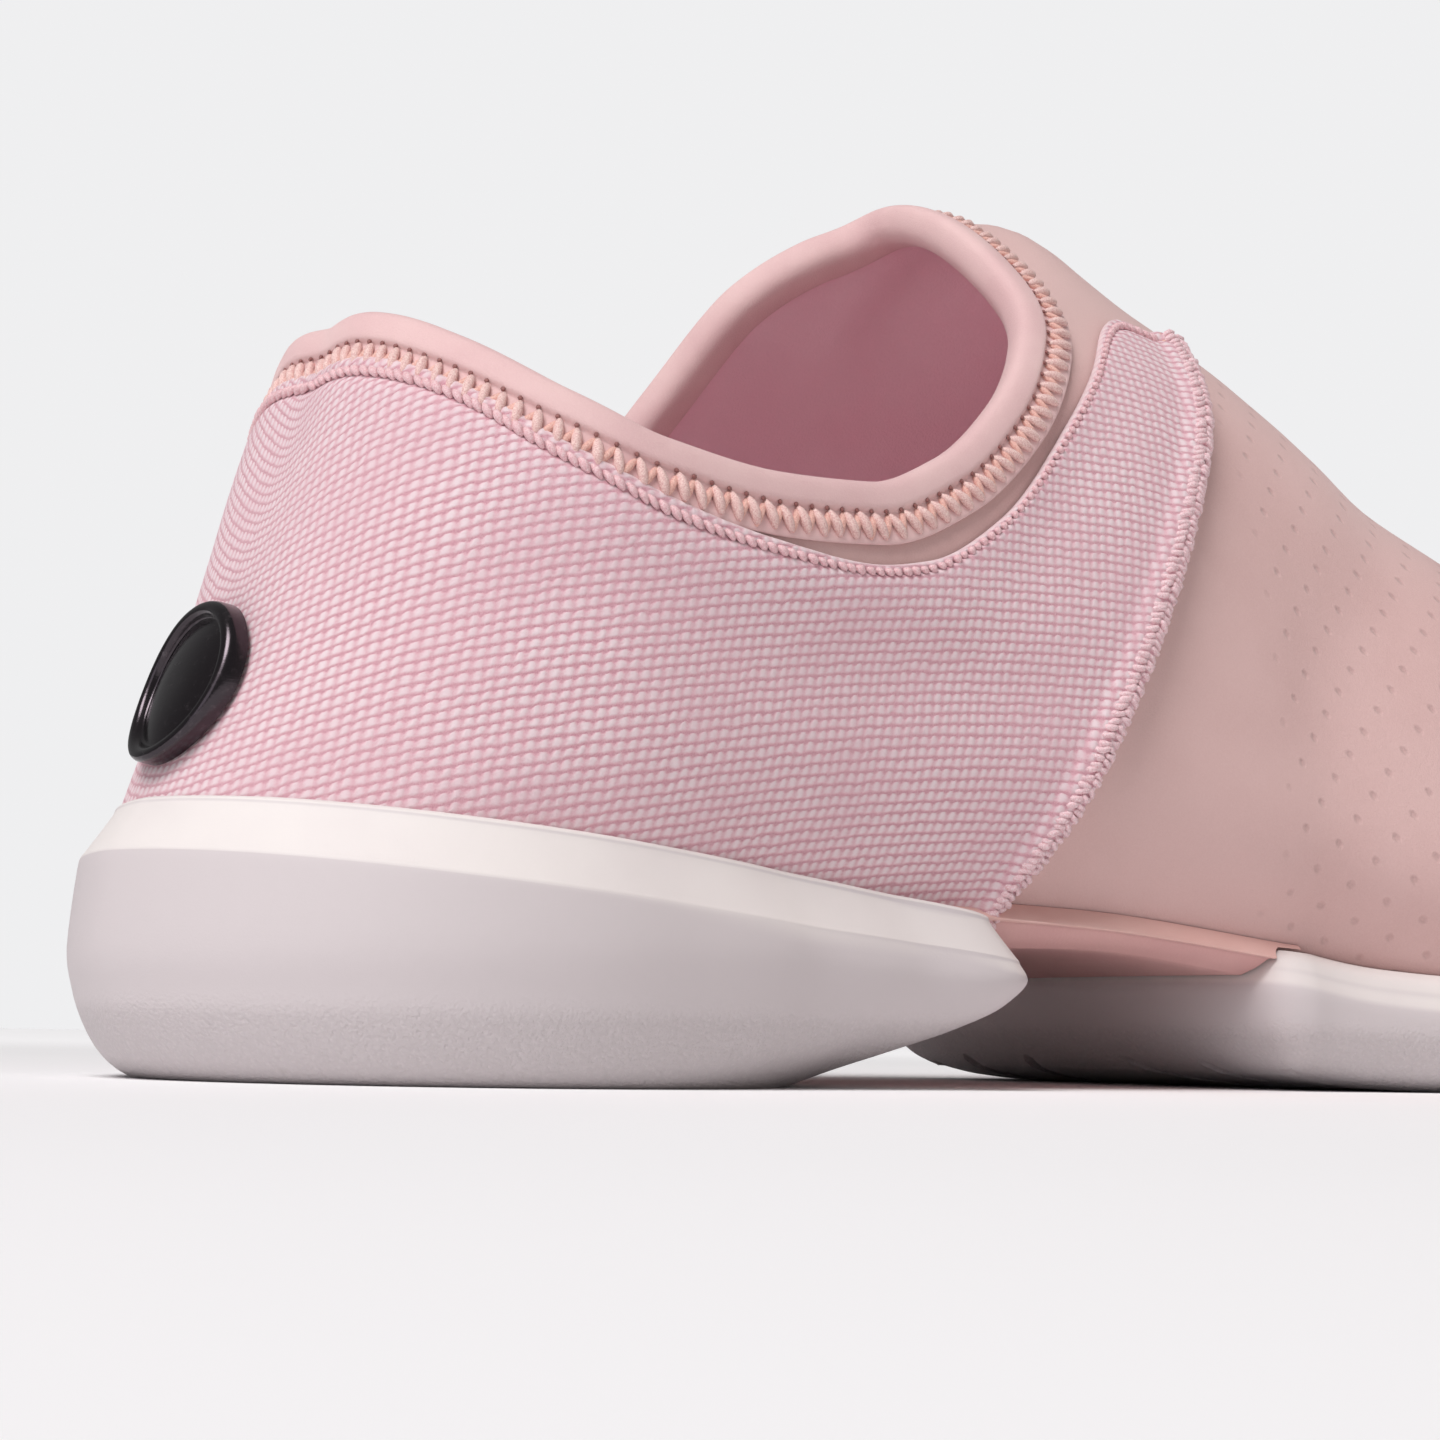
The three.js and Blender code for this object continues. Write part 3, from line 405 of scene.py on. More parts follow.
class Form:
    """Points, faces, their looks and cloth coordinates, gathered until they become an object."""

    def __init__(self):
        self.points, self.cloth, self.faces, self.looks = [], [], [], []
        self.count = 0

    def add(self, points, faces, look=0, cloth=None):
        points = np.asarray(points, float).reshape(-1, 3)
        cloth = np.zeros_like(points) if cloth is None else np.asarray(cloth, float).reshape(-1, 3)
        self.points.append(points)
        self.cloth.append(cloth)
        self.faces.extend((np.asarray(face) + self.count).tolist() for face in faces)
        self.looks.extend([look] * len(faces))
        self.count += len(points)

    def bridge(self, path, shift):
        """Joins a path of points to the same path that many points on."""
        for a, b in zip(path, path[1:]):
            self.faces.append([a, b, b + shift, a + shift])
            self.looks.append(0)

    def mesh(self, name, weld=0.0):
        mesh = bpy.data.meshes.new(name)
        points = (np.concatenate(self.points) - [MIDDLE_X, 0, 0]) * MM
        mesh.from_pydata(points.tolist(), [], self.faces)
        attribute = mesh.attributes.new("cloth", "FLOAT_VECTOR", "POINT")
        attribute.data.foreach_set("vector", np.concatenate(self.cloth).ravel())
        mesh.polygons.foreach_set("material_index", self.looks)
        if weld:
            work = bmesh.new()
            work.from_mesh(mesh)
            bmesh.ops.remove_doubles(work, verts=work.verts, dist=weld * MM)
            bmesh.ops.recalc_face_normals(work, faces=work.faces)
            work.to_mesh(mesh)
            work.free()
        return mesh


def put_in_scene(name, data):
    thing = bpy.data.objects.new(name, data)
    bpy.context.scene.collection.objects.link(thing)
    return thing


def show(name, mesh, looks, replaces=(), sharp=None):
    """Puts a mesh on the shoe as a smooth piece with its looks."""
    mesh.name = name
    chosen = [face.material_index for face in mesh.polygons]
    mesh.materials.clear()
    for look in looks:
        mesh.materials.append(look)
    mesh.polygons.foreach_set("material_index", chosen)
    mesh.polygons.foreach_set("use_smooth", [True] * len(mesh.polygons))
    if sharp:
        mesh.set_sharp_from_angle(angle=math.radians(sharp))
    piece = put_in_scene(name, mesh)
    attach(piece, "root")
    if replaces:
        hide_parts(*replaces)


def ring_mesh(name, rings, weld):
    """A mesh of rings whose first and last meet or shrink to a line, where welding closes it."""
    form = Form()
    form.add(rings, grid_faces(*rings.shape[:2], wrap=True))
    return form.mesh(name, weld=weld)


def closed_rings(rings, ends=None):
    """Rings seen from above going the same way round, closed by a fan to a point at each end."""
    rings = np.asarray(rings, float)
    count, around = rings.shape[:2]
    ends = [rings[0].mean(0), rings[-1].mean(0)] if ends is None else ends
    faces = grid_faces(count, around, wrap=True).tolist()
    bottom, last = count * around, (count - 1) * around
    for i in range(around):
        j = (i + 1) % around
        faces.append([j, i, bottom])
        faces.append([last + i, last + j, bottom + 1])
    form = Form()
    form.add(np.concatenate([rings.reshape(-1, 3), ends]), faces)
    return form


def tube(form, path, radius, sides=6, look=0):
    """A round thread along a path, with closed ends."""
    path = np.asarray(path, float)
    tangent = unit(np.gradient(path, axis=0))
    helper = np.eye(3)[np.argmin(np.abs(tangent).max(0))]
    across = unit(np.cross(tangent, helper))
    over = np.cross(across, tangent)
    turn = np.linspace(0, 2 * math.pi, sides, endpoint=False)
    ring = np.cos(turn)[None, :, None] * across[:, None] + np.sin(turn)[None, :, None] * over[:, None]
    radius = np.broadcast_to(radius, len(path))[:, None, None]
    faces = grid_faces(len(path), sides, wrap=True).tolist()
    first, last = list(range(sides)), [(len(path) - 1) * sides + k for k in range(sides)]
    form.add(path[:, None] + ring * radius, faces + [first[::-1], last], look)


def carved(blank, *cutters, operation="DIFFERENCE"):
    """The blank's mesh with the other meshes cut out of it, or its overlap with them."""
    body = put_in_scene("blank", blank)
    tools = [put_in_scene("cutter", mesh) for mesh in cutters]
    for tool in tools:
        modifier = body.modifiers.new("cut", "BOOLEAN")
        modifier.operation = operation
        modifier.solver = "MANIFOLD"
        modifier.object = tool
    bpy.context.view_layer.update()
    ready = body.evaluated_get(bpy.context.evaluated_depsgraph_get())
    mesh = bpy.data.meshes.new_from_object(ready)
    for thing in (body, *tools):
        bpy.data.objects.remove(thing)
    return mesh


def round_the_shoe(outer, inner):
    """Joins the two sides' columns into rings: down the outer side to the toe and back up the inner side."""
    return np.concatenate([outer, inner[..., -2:0:-1, :]], -2)


def meet_at_ridge(walls, first=0):
    """Makes the two sides' top rows one row, and their end columns one column."""
    outer, inner = walls
    outer[-1, first:] = inner[-1, first:] = (outer[-1, first:] + inner[-1, first:]) / 2
    for column in (0, -1):
        outer[:, column] = inner[:, column] = (outer[:, column] + inner[:, column]) / 2


def seat_ring(places, inset, up):
    """A ring over the seat, in from the last's foot, or along the spine where there is no inset."""
    halves = []
    for side in SIDES:
        at = station(side, places)
        reach = 0 * at["foot"] if inset is None else at["foot"] - inset
        halves.append(point_at(at, reach, at["seat"] + up))
    return round_the_shoe(*halves)


# Forms that cut the soles.
def last_form(grow, columns=170, rows=44):
    """The creaseless last as a closed body, grown by a distance."""
    places = np.linspace(0, TOE, columns + 1)
    shares = np.linspace(0, 1, rows)[:, None]
    walls = []
    for side in SIDES:
        normals = last_normal(side, places, np.maximum(shares, 0.01))
        walls.append(last_point(side, places, shares) + normals * grow)
    meet_at_ridge(walls)
    rings = np.concatenate([seat_ring(places, None, -grow)[None], round_the_shoe(*walls)])
    return ring_mesh("last", rings, 0.02)


def circles(centre, radii, heights, segments):
    """Level circles about an upright axis, one for each radius and height."""
    turn = np.linspace(0, 2 * math.pi, segments, endpoint=False)
    radii, heights = np.asarray(radii)[:, None], np.asarray(heights)[:, None]
    x, y = centre[0] + radii * np.cos(turn), centre[1] + radii * np.sin(turn)
    return np.stack(np.broadcast_arrays(x, y, heights), -1)


def turned(profile, centre, segments=120):
    """A closed body turned from rows of radius and height, the first and last of them on its upright axis."""
    radii, heights = np.transpose(profile)
    rings = circles(centre, radii[1:-1], heights[1:-1], segments)
    return closed_rings(rings, [(*centre, heights[0]), (*centre, heights[-1])]).mesh("turned")


def ring_cutter(centre, groove, segments=160):
    """A ring with a rounded top and splayed edges, for pressing a groove up into a flat underside."""
    turn = np.radians([30, 60, 90, 120, 150])
    spring = groove["spring"]
    across = np.r_[groove["splay"], np.cos(turn), -groove["splay"][::-1]] * groove["half"]
    up = np.r_[groove["foot"], spring + (groove["depth"] - spring) * np.sin(turn), groove["foot"][::-1]]
    rings = circles(centre, groove["radius"] + across, up, segments)
    return ring_mesh("ring", np.concatenate([rings, rings[:1]]), 0.001)


def refined(values, steps):
    """Rows of a table with smooth rows between them."""
    values = np.asarray(values, float)
    keys = np.arange(len(values))
    fine = np.linspace(0, len(values) - 1, (len(values) - 1) * steps + 1)
    return np.stack([smooth(keys, column)(fine) for column in values.T], -1)


# Looks. Colours are plain red, green and blue from 0 to 255.
def linear(colour):
    shares = [value / 255 for value in colour]
    return (*(s / 12.92 if s <= 0.04045 else ((s + 0.055) / 1.055) ** 2.4 for s in shares), 1.0)


class Wire:
    """A node's output that can be used in sums."""

    def __init__(self, look, socket):
        self.look, self.socket = look, socket

    def __add__(self, other):
        return self.look.math("ADD", self, other)

    def __sub__(self, other):
        return self.look.math("SUBTRACT", self, other)

    def __rsub__(self, other):
        return self.look.math("SUBTRACT", other, self)

    def __mul__(self, other):
        return self.look.math("MULTIPLY", self, other)

    def __truediv__(self, other):
        return self.look.math("DIVIDE", self, other)

    __radd__ = __add__
    __rmul__ = __mul__


class Look:
    """A material whose nodes are written as sums."""

    def __init__(self, name):
        self.material = bpy.data.materials.new(name)
        self.material.use_nodes = True
        self.tree = self.material.node_tree
        self.shader = self.tree.nodes["Principled BSDF"]

    def put(self, socket, value):
        if isinstance(value, Wire):
            self.tree.links.new(value.socket, socket)
        else:
            socket.default_value = linear(value) if isinstance(value, tuple) else value

    def node(self, kind, values=(), **settings):
        """A new node with its settings and the values of its inputs, by their order or names."""
        node = self.tree.nodes.new("ShaderNode" + kind)
        for name, value in settings.items():
            setattr(node, name, value)
        for key, value in values.items() if isinstance(values, dict) else enumerate(values):
            self.put(node.inputs[key], value)
        return node

    def wire(self, kind, output, values=(), **settings):
        return Wire(self, self.node(kind, values, **settings).outputs[output])

    def math(self, operation, *values):
        return self.wire("Math", 0, values, operation=operation)

    def split(self, vector):
        return [Wire(self, output) for output in self.node("SeparateXYZ", [vector]).outputs]

    def cloth(self):
        return self.wire("Attribute", "Vector", attribute_name="cloth")

    def place(self):
        """The point in millimetres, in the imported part's frame."""
        metres = self.wire("TexCoord", "Object")
        return self.wire("VectorMath", 0, {0: metres, "Scale": 1 / MM}, operation="SCALE")

    def noise(self, vector, scale, detail=2.0, roughness=0.5):
        values = {"Vector": vector, "Scale": scale, "Detail": detail, "Roughness": roughness}
        return self.wire("TexNoise", "Fac", values)

    def ramp(self, value, *stops):
        """Colours by value, from rows of a position and a colour."""
        node = self.node("ValToRGB", [value])
        elements = node.color_ramp.elements
        while len(elements) < len(stops):
            elements.new(0.5)
        for element, (position, colour) in zip(elements, stops):
            element.position = position
            element.color = linear(colour)
        return Wire(self, node.outputs[0])

    def blend(self, share, low, high):
        return self.wire("Mix", 2, {0: share, 6: low, 7: high}, data_type="RGBA")

    def between(self, value, low, high):
        """0 below low, 1 above high, smooth in between."""
        return self.wire("MapRange", 0, (value, low, high, 0.0, 1.0), interpolation_type="SMOOTHSTEP")

    def drifting(self, tone, dark, light):
        return self.blend(self.between(tone, 0.3, 0.7), dark, light)

    def flecked(self, colour, source, low, high, share, fleck):
        """The colour, gone to the fleck's by a share where the source is high."""
        return self.blend(self.between(source, low, high) * share, colour, fleck)

    def finish(self, colour, roughness, height=None, depth=0.1, sheen=0.0, metallic=0.0, **settings):
        """Sets the shader: height is in shares of depth millimetres."""
        settings.update(Metallic=metallic, Sheen_Weight=sheen, Sheen_Roughness=0.5)
        settings.update(Base_Color=colour, Roughness=roughness)
        if height is not None:
            bump = {"Height": height, "Distance": depth * MM, "Strength": 1.0}
            settings.update(Normal=self.wire("Bump", "Normal", bump))
        for name, value in settings.items():
            self.put(self.shader.inputs[name.replace("_", " ")], value)
        return self.material


LOOP_WIDTH = 1.08
ROW_HEIGHT = 0.97


def canvas_look():
    """Pale loops in rows and columns on a pinker ground, with painted shade in the gaps, painted glints on
    the loops, and a paler folded top edge with a painted highlight along it.
    """
    look = Look("woven_canvas")
    cloth = look.cloth()
    u, v, edge = look.split(cloth)
    wander = look.noise(cloth, 0.45) - 0.5
    jitter = look.noise(cloth, 1.1, 2.0, 0.6) - 0.5
    strand = look.noise(cloth, 2.4, 2.0, 0.6)
    fuzz = look.noise(cloth, 6.5, 5.0, 0.8)
    column = (u + 0.5 * wander + 0.30 * jitter) / LOOP_WIDTH
    row = (v + 0.5 * wander + 0.26 * jitter) / ROW_HEIGHT
    inside = look.math("FRACT", row)
    loop = look.math("COSINE", (column + inside * 0.12) * (2 * math.pi)) * 0.5 + 0.5
    crest = 0.52 + 0.14 * loop
    reach = 0.32 + 0.14 * loop
    ridge = 1.0 - look.between(look.math("ABSOLUTE", inside - crest) / reach, 0.40, 1.30)
    height = 0.16 + ridge * (0.30 + 0.54 * loop) + (fuzz - 0.5) * 0.95
    # Low parts are darker: partly the pinker ground between the loops, and partly painted shade in the gaps.
    colour = look.ramp(
        height, (0.05, (208, 144, 158)), (0.32, (232, 182, 192)), (0.62, (242, 209, 215)),
        (0.95, (249, 228, 232)))
    colour = look.flecked(colour, look.noise(cloth, 0.07, 3.0), 0.35, 0.7, 0.30, (230, 180, 191))
    # Painted glints: paler flecks on the loops where the strand noise is high.
    colour = look.flecked(colour, strand, 0.5, 0.78, 0.30, (247, 226, 228))
    # The top edge is paler: partly the folded cloth's own colour, and partly a painted highlight along the
    # fold.
    colour = look.flecked(colour, edge, 0.45, 0.9, 0.75, (245, 224, 226))
    return look.finish(colour, 0.92, height, 0.11, sheen=0.25)


HOLE_ROWS = 3.4
HOLE_PITCH = 4.4
HOLES_FROM = (112.0, 117.0)
HOLES_TO = (196.0, 216.0)
BARE_RIDGE = (6.0, 10.0)


def knit_look():
    """Smooth cloth with staggered pinholes on both sides of the vamp's ridge, darkened as painted shade."""
    look = Look("smooth_knit")
    u, v, _ = look.split(look.cloth())
    place = look.place()
    fine = look.noise(place, 5.0, 3.0, 0.6)
    row = v / HOLE_ROWS
    across = (look.math("FRACT", row) - 0.5) * HOLE_ROWS
    parity = look.math("MODULO", look.math("ABSOLUTE", look.math("FLOOR", row)), 2.0)
    along = (look.math("FRACT", u / HOLE_PITCH + parity * 0.5) - 0.5) * HOLE_PITCH
    distance = look.math("SQRT", across * across + along * along)
    vamp = look.between(u, *HOLES_FROM) * (1.0 - look.between(u, *HOLES_TO))
    vamp = vamp * look.between(look.math("ABSOLUTE", v), *BARE_RIDGE)
    hole = (1.0 - look.between(distance, 0.12, 0.62)) * vamp
    colour = look.drifting(look.noise(place, 0.05), (214, 176, 172), (222, 186, 182))
    colour = look.flecked(colour, fine, 0.3, 0.75, 0.25, (232, 201, 197))
    # Painted shade: the pinholes are darkened.
    colour = look.blend(hole * 0.24, colour, (160, 120, 118))
    return look.finish(colour, 0.78, fine * 0.35 - hole, 0.12, sheen=0.18)


def soft_cloth_look(name, drift, grain, colours, nap_share, roughness, depth, sheen):
    """Cloth that drifts between two colours and has a nap of a third: drift and grain are for its noises."""
    dark, light, nap = colours
    look = Look(name)
    place = look.place()
    fine = look.noise(place, *grain)
    colour = look.drifting(look.noise(place, drift), dark, light)
    colour = look.flecked(colour, fine, 0.35, 0.8, nap_share, nap)
    return look.finish(colour, roughness, fine, depth, sheen=sheen)


def thread_look(name, dark, light):
    look = Look(name)
    strand = look.noise(look.place(), 7.0, 2.0, 0.6)
    return look.finish(look.ramp(strand, (0.3, dark), (0.7, light)), 0.6, strand, 0.06, sheen=0.2)


def sole_look():
    """Matte moulded foam: smooth on the sides, pebbled towards the floor, with painted shade on faces that
    turn away from up.
    """
    look = Look("moulded_sole")
    place = look.place()
    _, _, z = look.split(place)
    _, _, facing_up = look.split(look.wire("NewGeometry", "Normal"))
    pebble = look.wire("TexVoronoi", "Distance", {"Vector": place, "Scale": 2.6}, feature="SMOOTH_F1")
    grain = look.noise(place, 3.0, 3.0, 0.6)
    low = 1.0 - look.between(z, 5.2, 8.2)
    flat = look.between(z, 0.02, 0.5)
    coarse = (grain * 0.7 + pebble * 0.5) * low * (flat * 0.75 + 0.25)
    scuff = look.between(look.noise(place, 0.35, 4.0, 0.7), 0.60, 0.72) * (1.0 - look.between(z, 1.0, 4.0))
    colour = look.drifting(look.noise(place, 0.06, 3.0), (229, 221, 219), (235, 228, 225))
    # Painted shade: walls and downward faces take a darker colour, and only faces turned well upward keep the
    # lighter one.
    colour = look.blend(look.between(facing_up, 0.22, 0.42), (213, 204, 205), colour)
    colour = look.blend(look.between(coarse, 0.25, 0.65) * 0.35 * low, colour, (192, 183, 184))
    colour = look.blend(scuff * 0.25, colour, (186, 176, 172))
    height = coarse + look.noise(place, 4.5) * 0.06
    return look.finish(colour, 0.56, height, 0.20, Specular_IOR_Level=0.35)


def soft_rubber_look(name, dark, light, roughness):
    look = Look(name)
    place = look.place()
    fine = look.noise(place, 3.0, 3.0, 0.6)
    colour = look.drifting(look.noise(place, 0.09, 3.0), dark, light)
    shine = look.between(fine, 0.2, 0.9) * 0.12 + roughness
    return look.finish(colour, shine, fine, 0.03, Specular_IOR_Level=0.4)


def badge_look():
    """Dark chrome, brushed along the plate and lightly scratched."""
    look = Look("dark_chrome")
    place = look.place()
    x, y, z = look.split(place)
    stretched = look.wire("CombineXYZ", 0, (x * 0.4, y * 0.4, z * 6.0))
    brushed = look.noise(stretched, 1.0, 3.0, 0.6)
    scratches = look.between(look.noise(place, 1.2, 5.0, 0.7), 0.55, 0.7)
    colour = look.blend(scratches * 0.4, (74, 68, 72), (112, 104, 108))
    return look.finish(colour, brushed * 0.12 + 0.14 + scratches * 0.08, brushed, 0.01, metallic=1.0)


CANVAS = canvas_look()
KNIT = knit_look()
LINING = soft_cloth_look(
    "soft_lining", drift=0.07, grain=(3.5, 3.0, 0.65), nap_share=0.35, roughness=0.9, depth=0.08, sheen=0.3,
    colours=((248, 204, 214), (250, 212, 220), (242, 200, 210)))
BINDING_CLOTH = soft_cloth_look(
    "rolled_binding", drift=0.12, grain=(6.0, 3.0, 0.6), nap_share=0.3, roughness=0.75, depth=0.05, sheen=0.2,
    colours=((226, 186, 186), (234, 198, 196), (240, 210, 206)))
# The pale thread is a painted highlight for the zigzag's front legs; the peach thread is the overlock's
# needle thread and painted shade on the zigzag's back legs.
PALE_THREAD_HIGHLIGHT = thread_look("pale_thread_highlight", (216, 164, 160), (250, 222, 214))
PEACH_THREAD_AND_SHADE = thread_look("peach_thread_and_shade", (218, 158, 146), (244, 201, 188))
WHIP_THREAD = thread_look("whip_thread", (228, 178, 184), (250, 228, 231))
PINK_THREAD = thread_look("pink_thread", (222, 166, 172), (246, 216, 218))
# Dark thread for the plugs in the needle holes: painted shade.
NEEDLE_HOLE_SHADE = thread_look("needle_hole_shade", (128, 78, 76), (160, 104, 98))
SOLE = sole_look()
DISC_RUBBER = soft_rubber_look("pivot_rubber", (214, 164, 178), (224, 178, 190), 0.34)
ARCH_RUBBER = soft_rubber_look("arch_rubber", (214, 164, 162), (222, 174, 170), 0.42)
# A lighter copy of the arch rubber: a painted highlight on the bead.
ARCH_LIP_HIGHLIGHT = soft_rubber_look("arch_lip_highlight", (230, 184, 176), (238, 196, 188), 0.36)
BADGE_METAL = badge_look()

# The upper: a shell from its lasting margin up to the rim, and over the ridge ahead of the collar.
COLLAR_COLUMNS = 110
FRONT_COLUMNS = 110
WALL_ROWS = 46
FOOT_AT_COLLAR = 4.7


def upper_grid(side):
    """Places and shares of the upper's columns, which follow the rim and then the ridge."""
    along = np.linspace(0, 1, COLLAR_COLUMNS + 1)
    ahead = np.linspace(0, 1, FRONT_COLUMNS + 1)[1:]
    rim_place, rim_share = rim_line(side, along)
    top_place = np.r_[rim_place, rim_place[-1] + (TOE - rim_place[-1]) * ahead]
    top_share = np.r_[rim_share, np.ones(FRONT_COLUMNS)]
    foot_place = np.r_[FOOT_AT_COLLAR * along, FOOT_AT_COLLAR + (TOE - FOOT_AT_COLLAR) * ahead]
    up = np.linspace(0, 1, WALL_ROWS)[:, None]
    return foot_place * (1 - up) + top_place * up, top_share * up


def upper_rings(grow, margin_up):
    """The wall's rings from the lasting margin up, moved out by a distance, and how cloth lies on them."""
    walls, cloths = [], []
    for side in SIDES:
        place, share = upper_grid(side)
        walls.append(skin(side, place, share, grow)[0])
        cloths.append(cloth_from_ridge(side, place, share))
    meet_at_ridge(walls, COLLAR_COLUMNS)
    margin = seat_ring(place[0], LASTING_MARGIN, margin_up)
    cloth = round_the_shoe(*cloths)
    return np.concatenate([margin[None], round_the_shoe(*walls)]), np.concatenate([cloth[:1], cloth])


def make_upper():
    outside, outside_cloth = upper_rings(0.0, 0.0)
    inside, inside_cloth = upper_rings(-WALL, WALL)
    rows, around = outside.shape[:2]
    form = Form()
    form.add(outside, grid_faces(rows, around, wrap=True), 0, outside_cloth)
    form.add(inside, grid_faces(rows, around, wrap=True, flip=True), 1, inside_cloth)
    top = (rows - 1) * around
    form.bridge([top + i % around for i in range(-COLLAR_COLUMNS, COLLAR_COLUMNS + 1)], rows * around)
    form.bridge([i % around for i in range(around, -1, -1)], rows * around)
    show("worn_upper", form.mesh("upper", weld=0.01), [KNIT, LINING], ["upper"])


make_upper()

# The woven overlay. Its columns run from the foot to its top edge, and its last column is the front seam.
CORNER_ROUNDING = 0.05
THROAT_FROM = 3.2
SEAM_FROM = 3.4


def quarter_edges(side, count=400):
    """The overlay's four edges as places and shares by an even share of their lengths, and those lengths."""
    sign = side["sign"]
    throat = THROAT[sign] * sign
    places = np.linspace(0, 6, 601)
    top_share = bisect(0.2, 1.0, lambda s: over_line(side, places, s, quarter_top) > 0)
    throat_share = bisect(0.5, 1.0, lambda s: last_point(side, places, s)[..., 1] * sign < throat)
    throat_share = np.where(places > THROAT_FROM, throat_share, 1.0)
    nearer = np.clip(0.5 + (throat_share - top_share) / (2 * CORNER_ROUNDING), 0, 1)
    line = throat_share + (top_share - throat_share) * nearer - CORNER_ROUNDING * nearer * (1 - nearer)

    def past_seam(place, share):
        point = last_point(side, place, share)
        return point[..., 0] > front_seam(point[..., 2])

    end = np.argmax((places > SEAM_FROM) & past_seam(places, line))
    top = np.stack([places[: end + 1], line[: end + 1]], -1)
    shares = np.linspace(0.02, line[end], 200)
    seam = np.stack([bisect(2.0, 6.0, lambda p: past_seam(p, shares)), shares], -1)
    seam = seam[last_point(side, seam[:, 0], seam[:, 1])[:, 2] >= QUARTER_FOOT]
    seam[-1] = top[-1]
    foot_places = np.linspace(0, seam[0, 0], 300)
    foot_share = bisect(0.0, 0.5, lambda s: last_point(side, foot_places, s)[..., 2] > QUARTER_FOOT)
    foot = np.stack([foot_places, foot_share], -1)
    foot[-1] = seam[0]
    back_share = np.linspace(foot[0, 1], top[0, 1], 200)
    back = np.stack([0 * back_share, back_share], -1)

    def even(edge):
        length = distances(last_point(side, edge[:, 0], edge[:, 1]))
        steps = np.linspace(0, length[-1], count)
        return np.stack([np.interp(steps, length, edge[:, k]) for k in (0, 1)], -1), length[-1]

    return [even(edge) for edge in (foot, top, back, seam)]


QUARTER_EDGES = {side["sign"]: quarter_edges(side) for side in SIDES}


def quarter_spot(side, u, v):
    """Place and share on the overlay at u from the back to the seam and v from the foot to the top edge."""
    (foot, _), (top, _), (back, _), (seam, _) = QUARTER_EDGES[side["sign"]]
    u, v = np.broadcast_arrays(np.asarray(u, float), np.asarray(v, float))
    steps = np.linspace(0, 1, len(foot))

    def on(edge, at):
        return np.stack([np.interp(at, steps, edge[:, k]) for k in (0, 1)], -1)

    a, b = u[..., None], v[..., None]
    corners = (1 - a) * (1 - b) * foot[0] + a * (1 - b) * foot[-1] + (1 - a) * b * top[0] + a * b * top[-1]
    spot = (1 - b) * on(foot, u) + b * on(top, u) + (1 - a) * on(back, v) + a * on(seam, v) - corners
    return spot[..., 0], spot[..., 1]


def quarter_point(side, u, v, grow):
    return skin(side, *quarter_spot(side, u, v), grow)


def quarter_length(side):
    (_, foot), (_, top), _, _ = QUARTER_EDGES[side["sign"]]
    return (foot + top) / 2


def quarter_heights(side, u):
    """Lengths of the overlay's columns, twice their upper halves."""
    halves = quarter_point(side, u, 1.0, 0)[0] - quarter_point(side, u, 0.5, 0)[0]
    return np.linalg.norm(halves, axis=-1) * 2


# Distances from the overlay's edges at which its surface is shaped, and how far it stands out of the upper
# there.
TOP_STEPS = np.array([0, 0.12, 0.3, 0.55, 0.9, 1.3, 1.6, 1.8, 2.0, 2.25, 2.6, 3.2, 4.0])
SEAM_STEPS = np.array([0, 0.15, 0.4, 0.8, 1.3, 1.9, 2.4, 2.8, 3.1, 3.4, 3.9, 4.6, 5.6])
TOP_SHAPE = table(
    "off out", (0, 0.55), (0.12, 0.85), (0.3, 1.05), (0.55, 1.2), (0.9, 1.26), (1.3, 1.24), (1.6, 1.08),
    (1.9, 0.86), (2.25, 1.08), (2.6, 1.3), (3.4, OUTSIDE), (5, OUTSIDE))
SEAM_SHAPE = table(
    "off out", (0, 0.2), (0.15, 0.5), (0.4, 0.74), (0.9, 0.8), (1.6, 0.78), (2.4, 0.66), (2.9, 0.42),
    (3.3, 0.1), (3.9, 0), (6, 0))
top_shape = curve(TOP_SHAPE, "off", "out")
seam_shape = curve(SEAM_SHAPE, "off", "out")
EDGE_FADE = 1.2
HEM_THICKNESS = 0.25
QUARTER_COLUMNS = 130
QUARTER_ROWS = 50


def quarter_grid(side):
    """u and v of the overlay's points, with the distances to the top edge and to the seam in millimetres."""
    length = quarter_length(side)
    near_seam = 1 - SEAM_STEPS[::-1] / length
    u = np.r_[np.linspace(0, near_seam[0], QUARTER_COLUMNS, endpoint=False), near_seam]
    heights = quarter_heights(side, u)
    near_top = 1 - TOP_STEPS[::-1, None] / heights
    below = np.linspace(0, 1, QUARTER_ROWS, endpoint=False)[:, None] * near_top[:1]
    v = np.concatenate([below, near_top])
    u = np.broadcast_to(u, v.shape)
    return u, v, (1 - v) * heights, (1 - u) * length


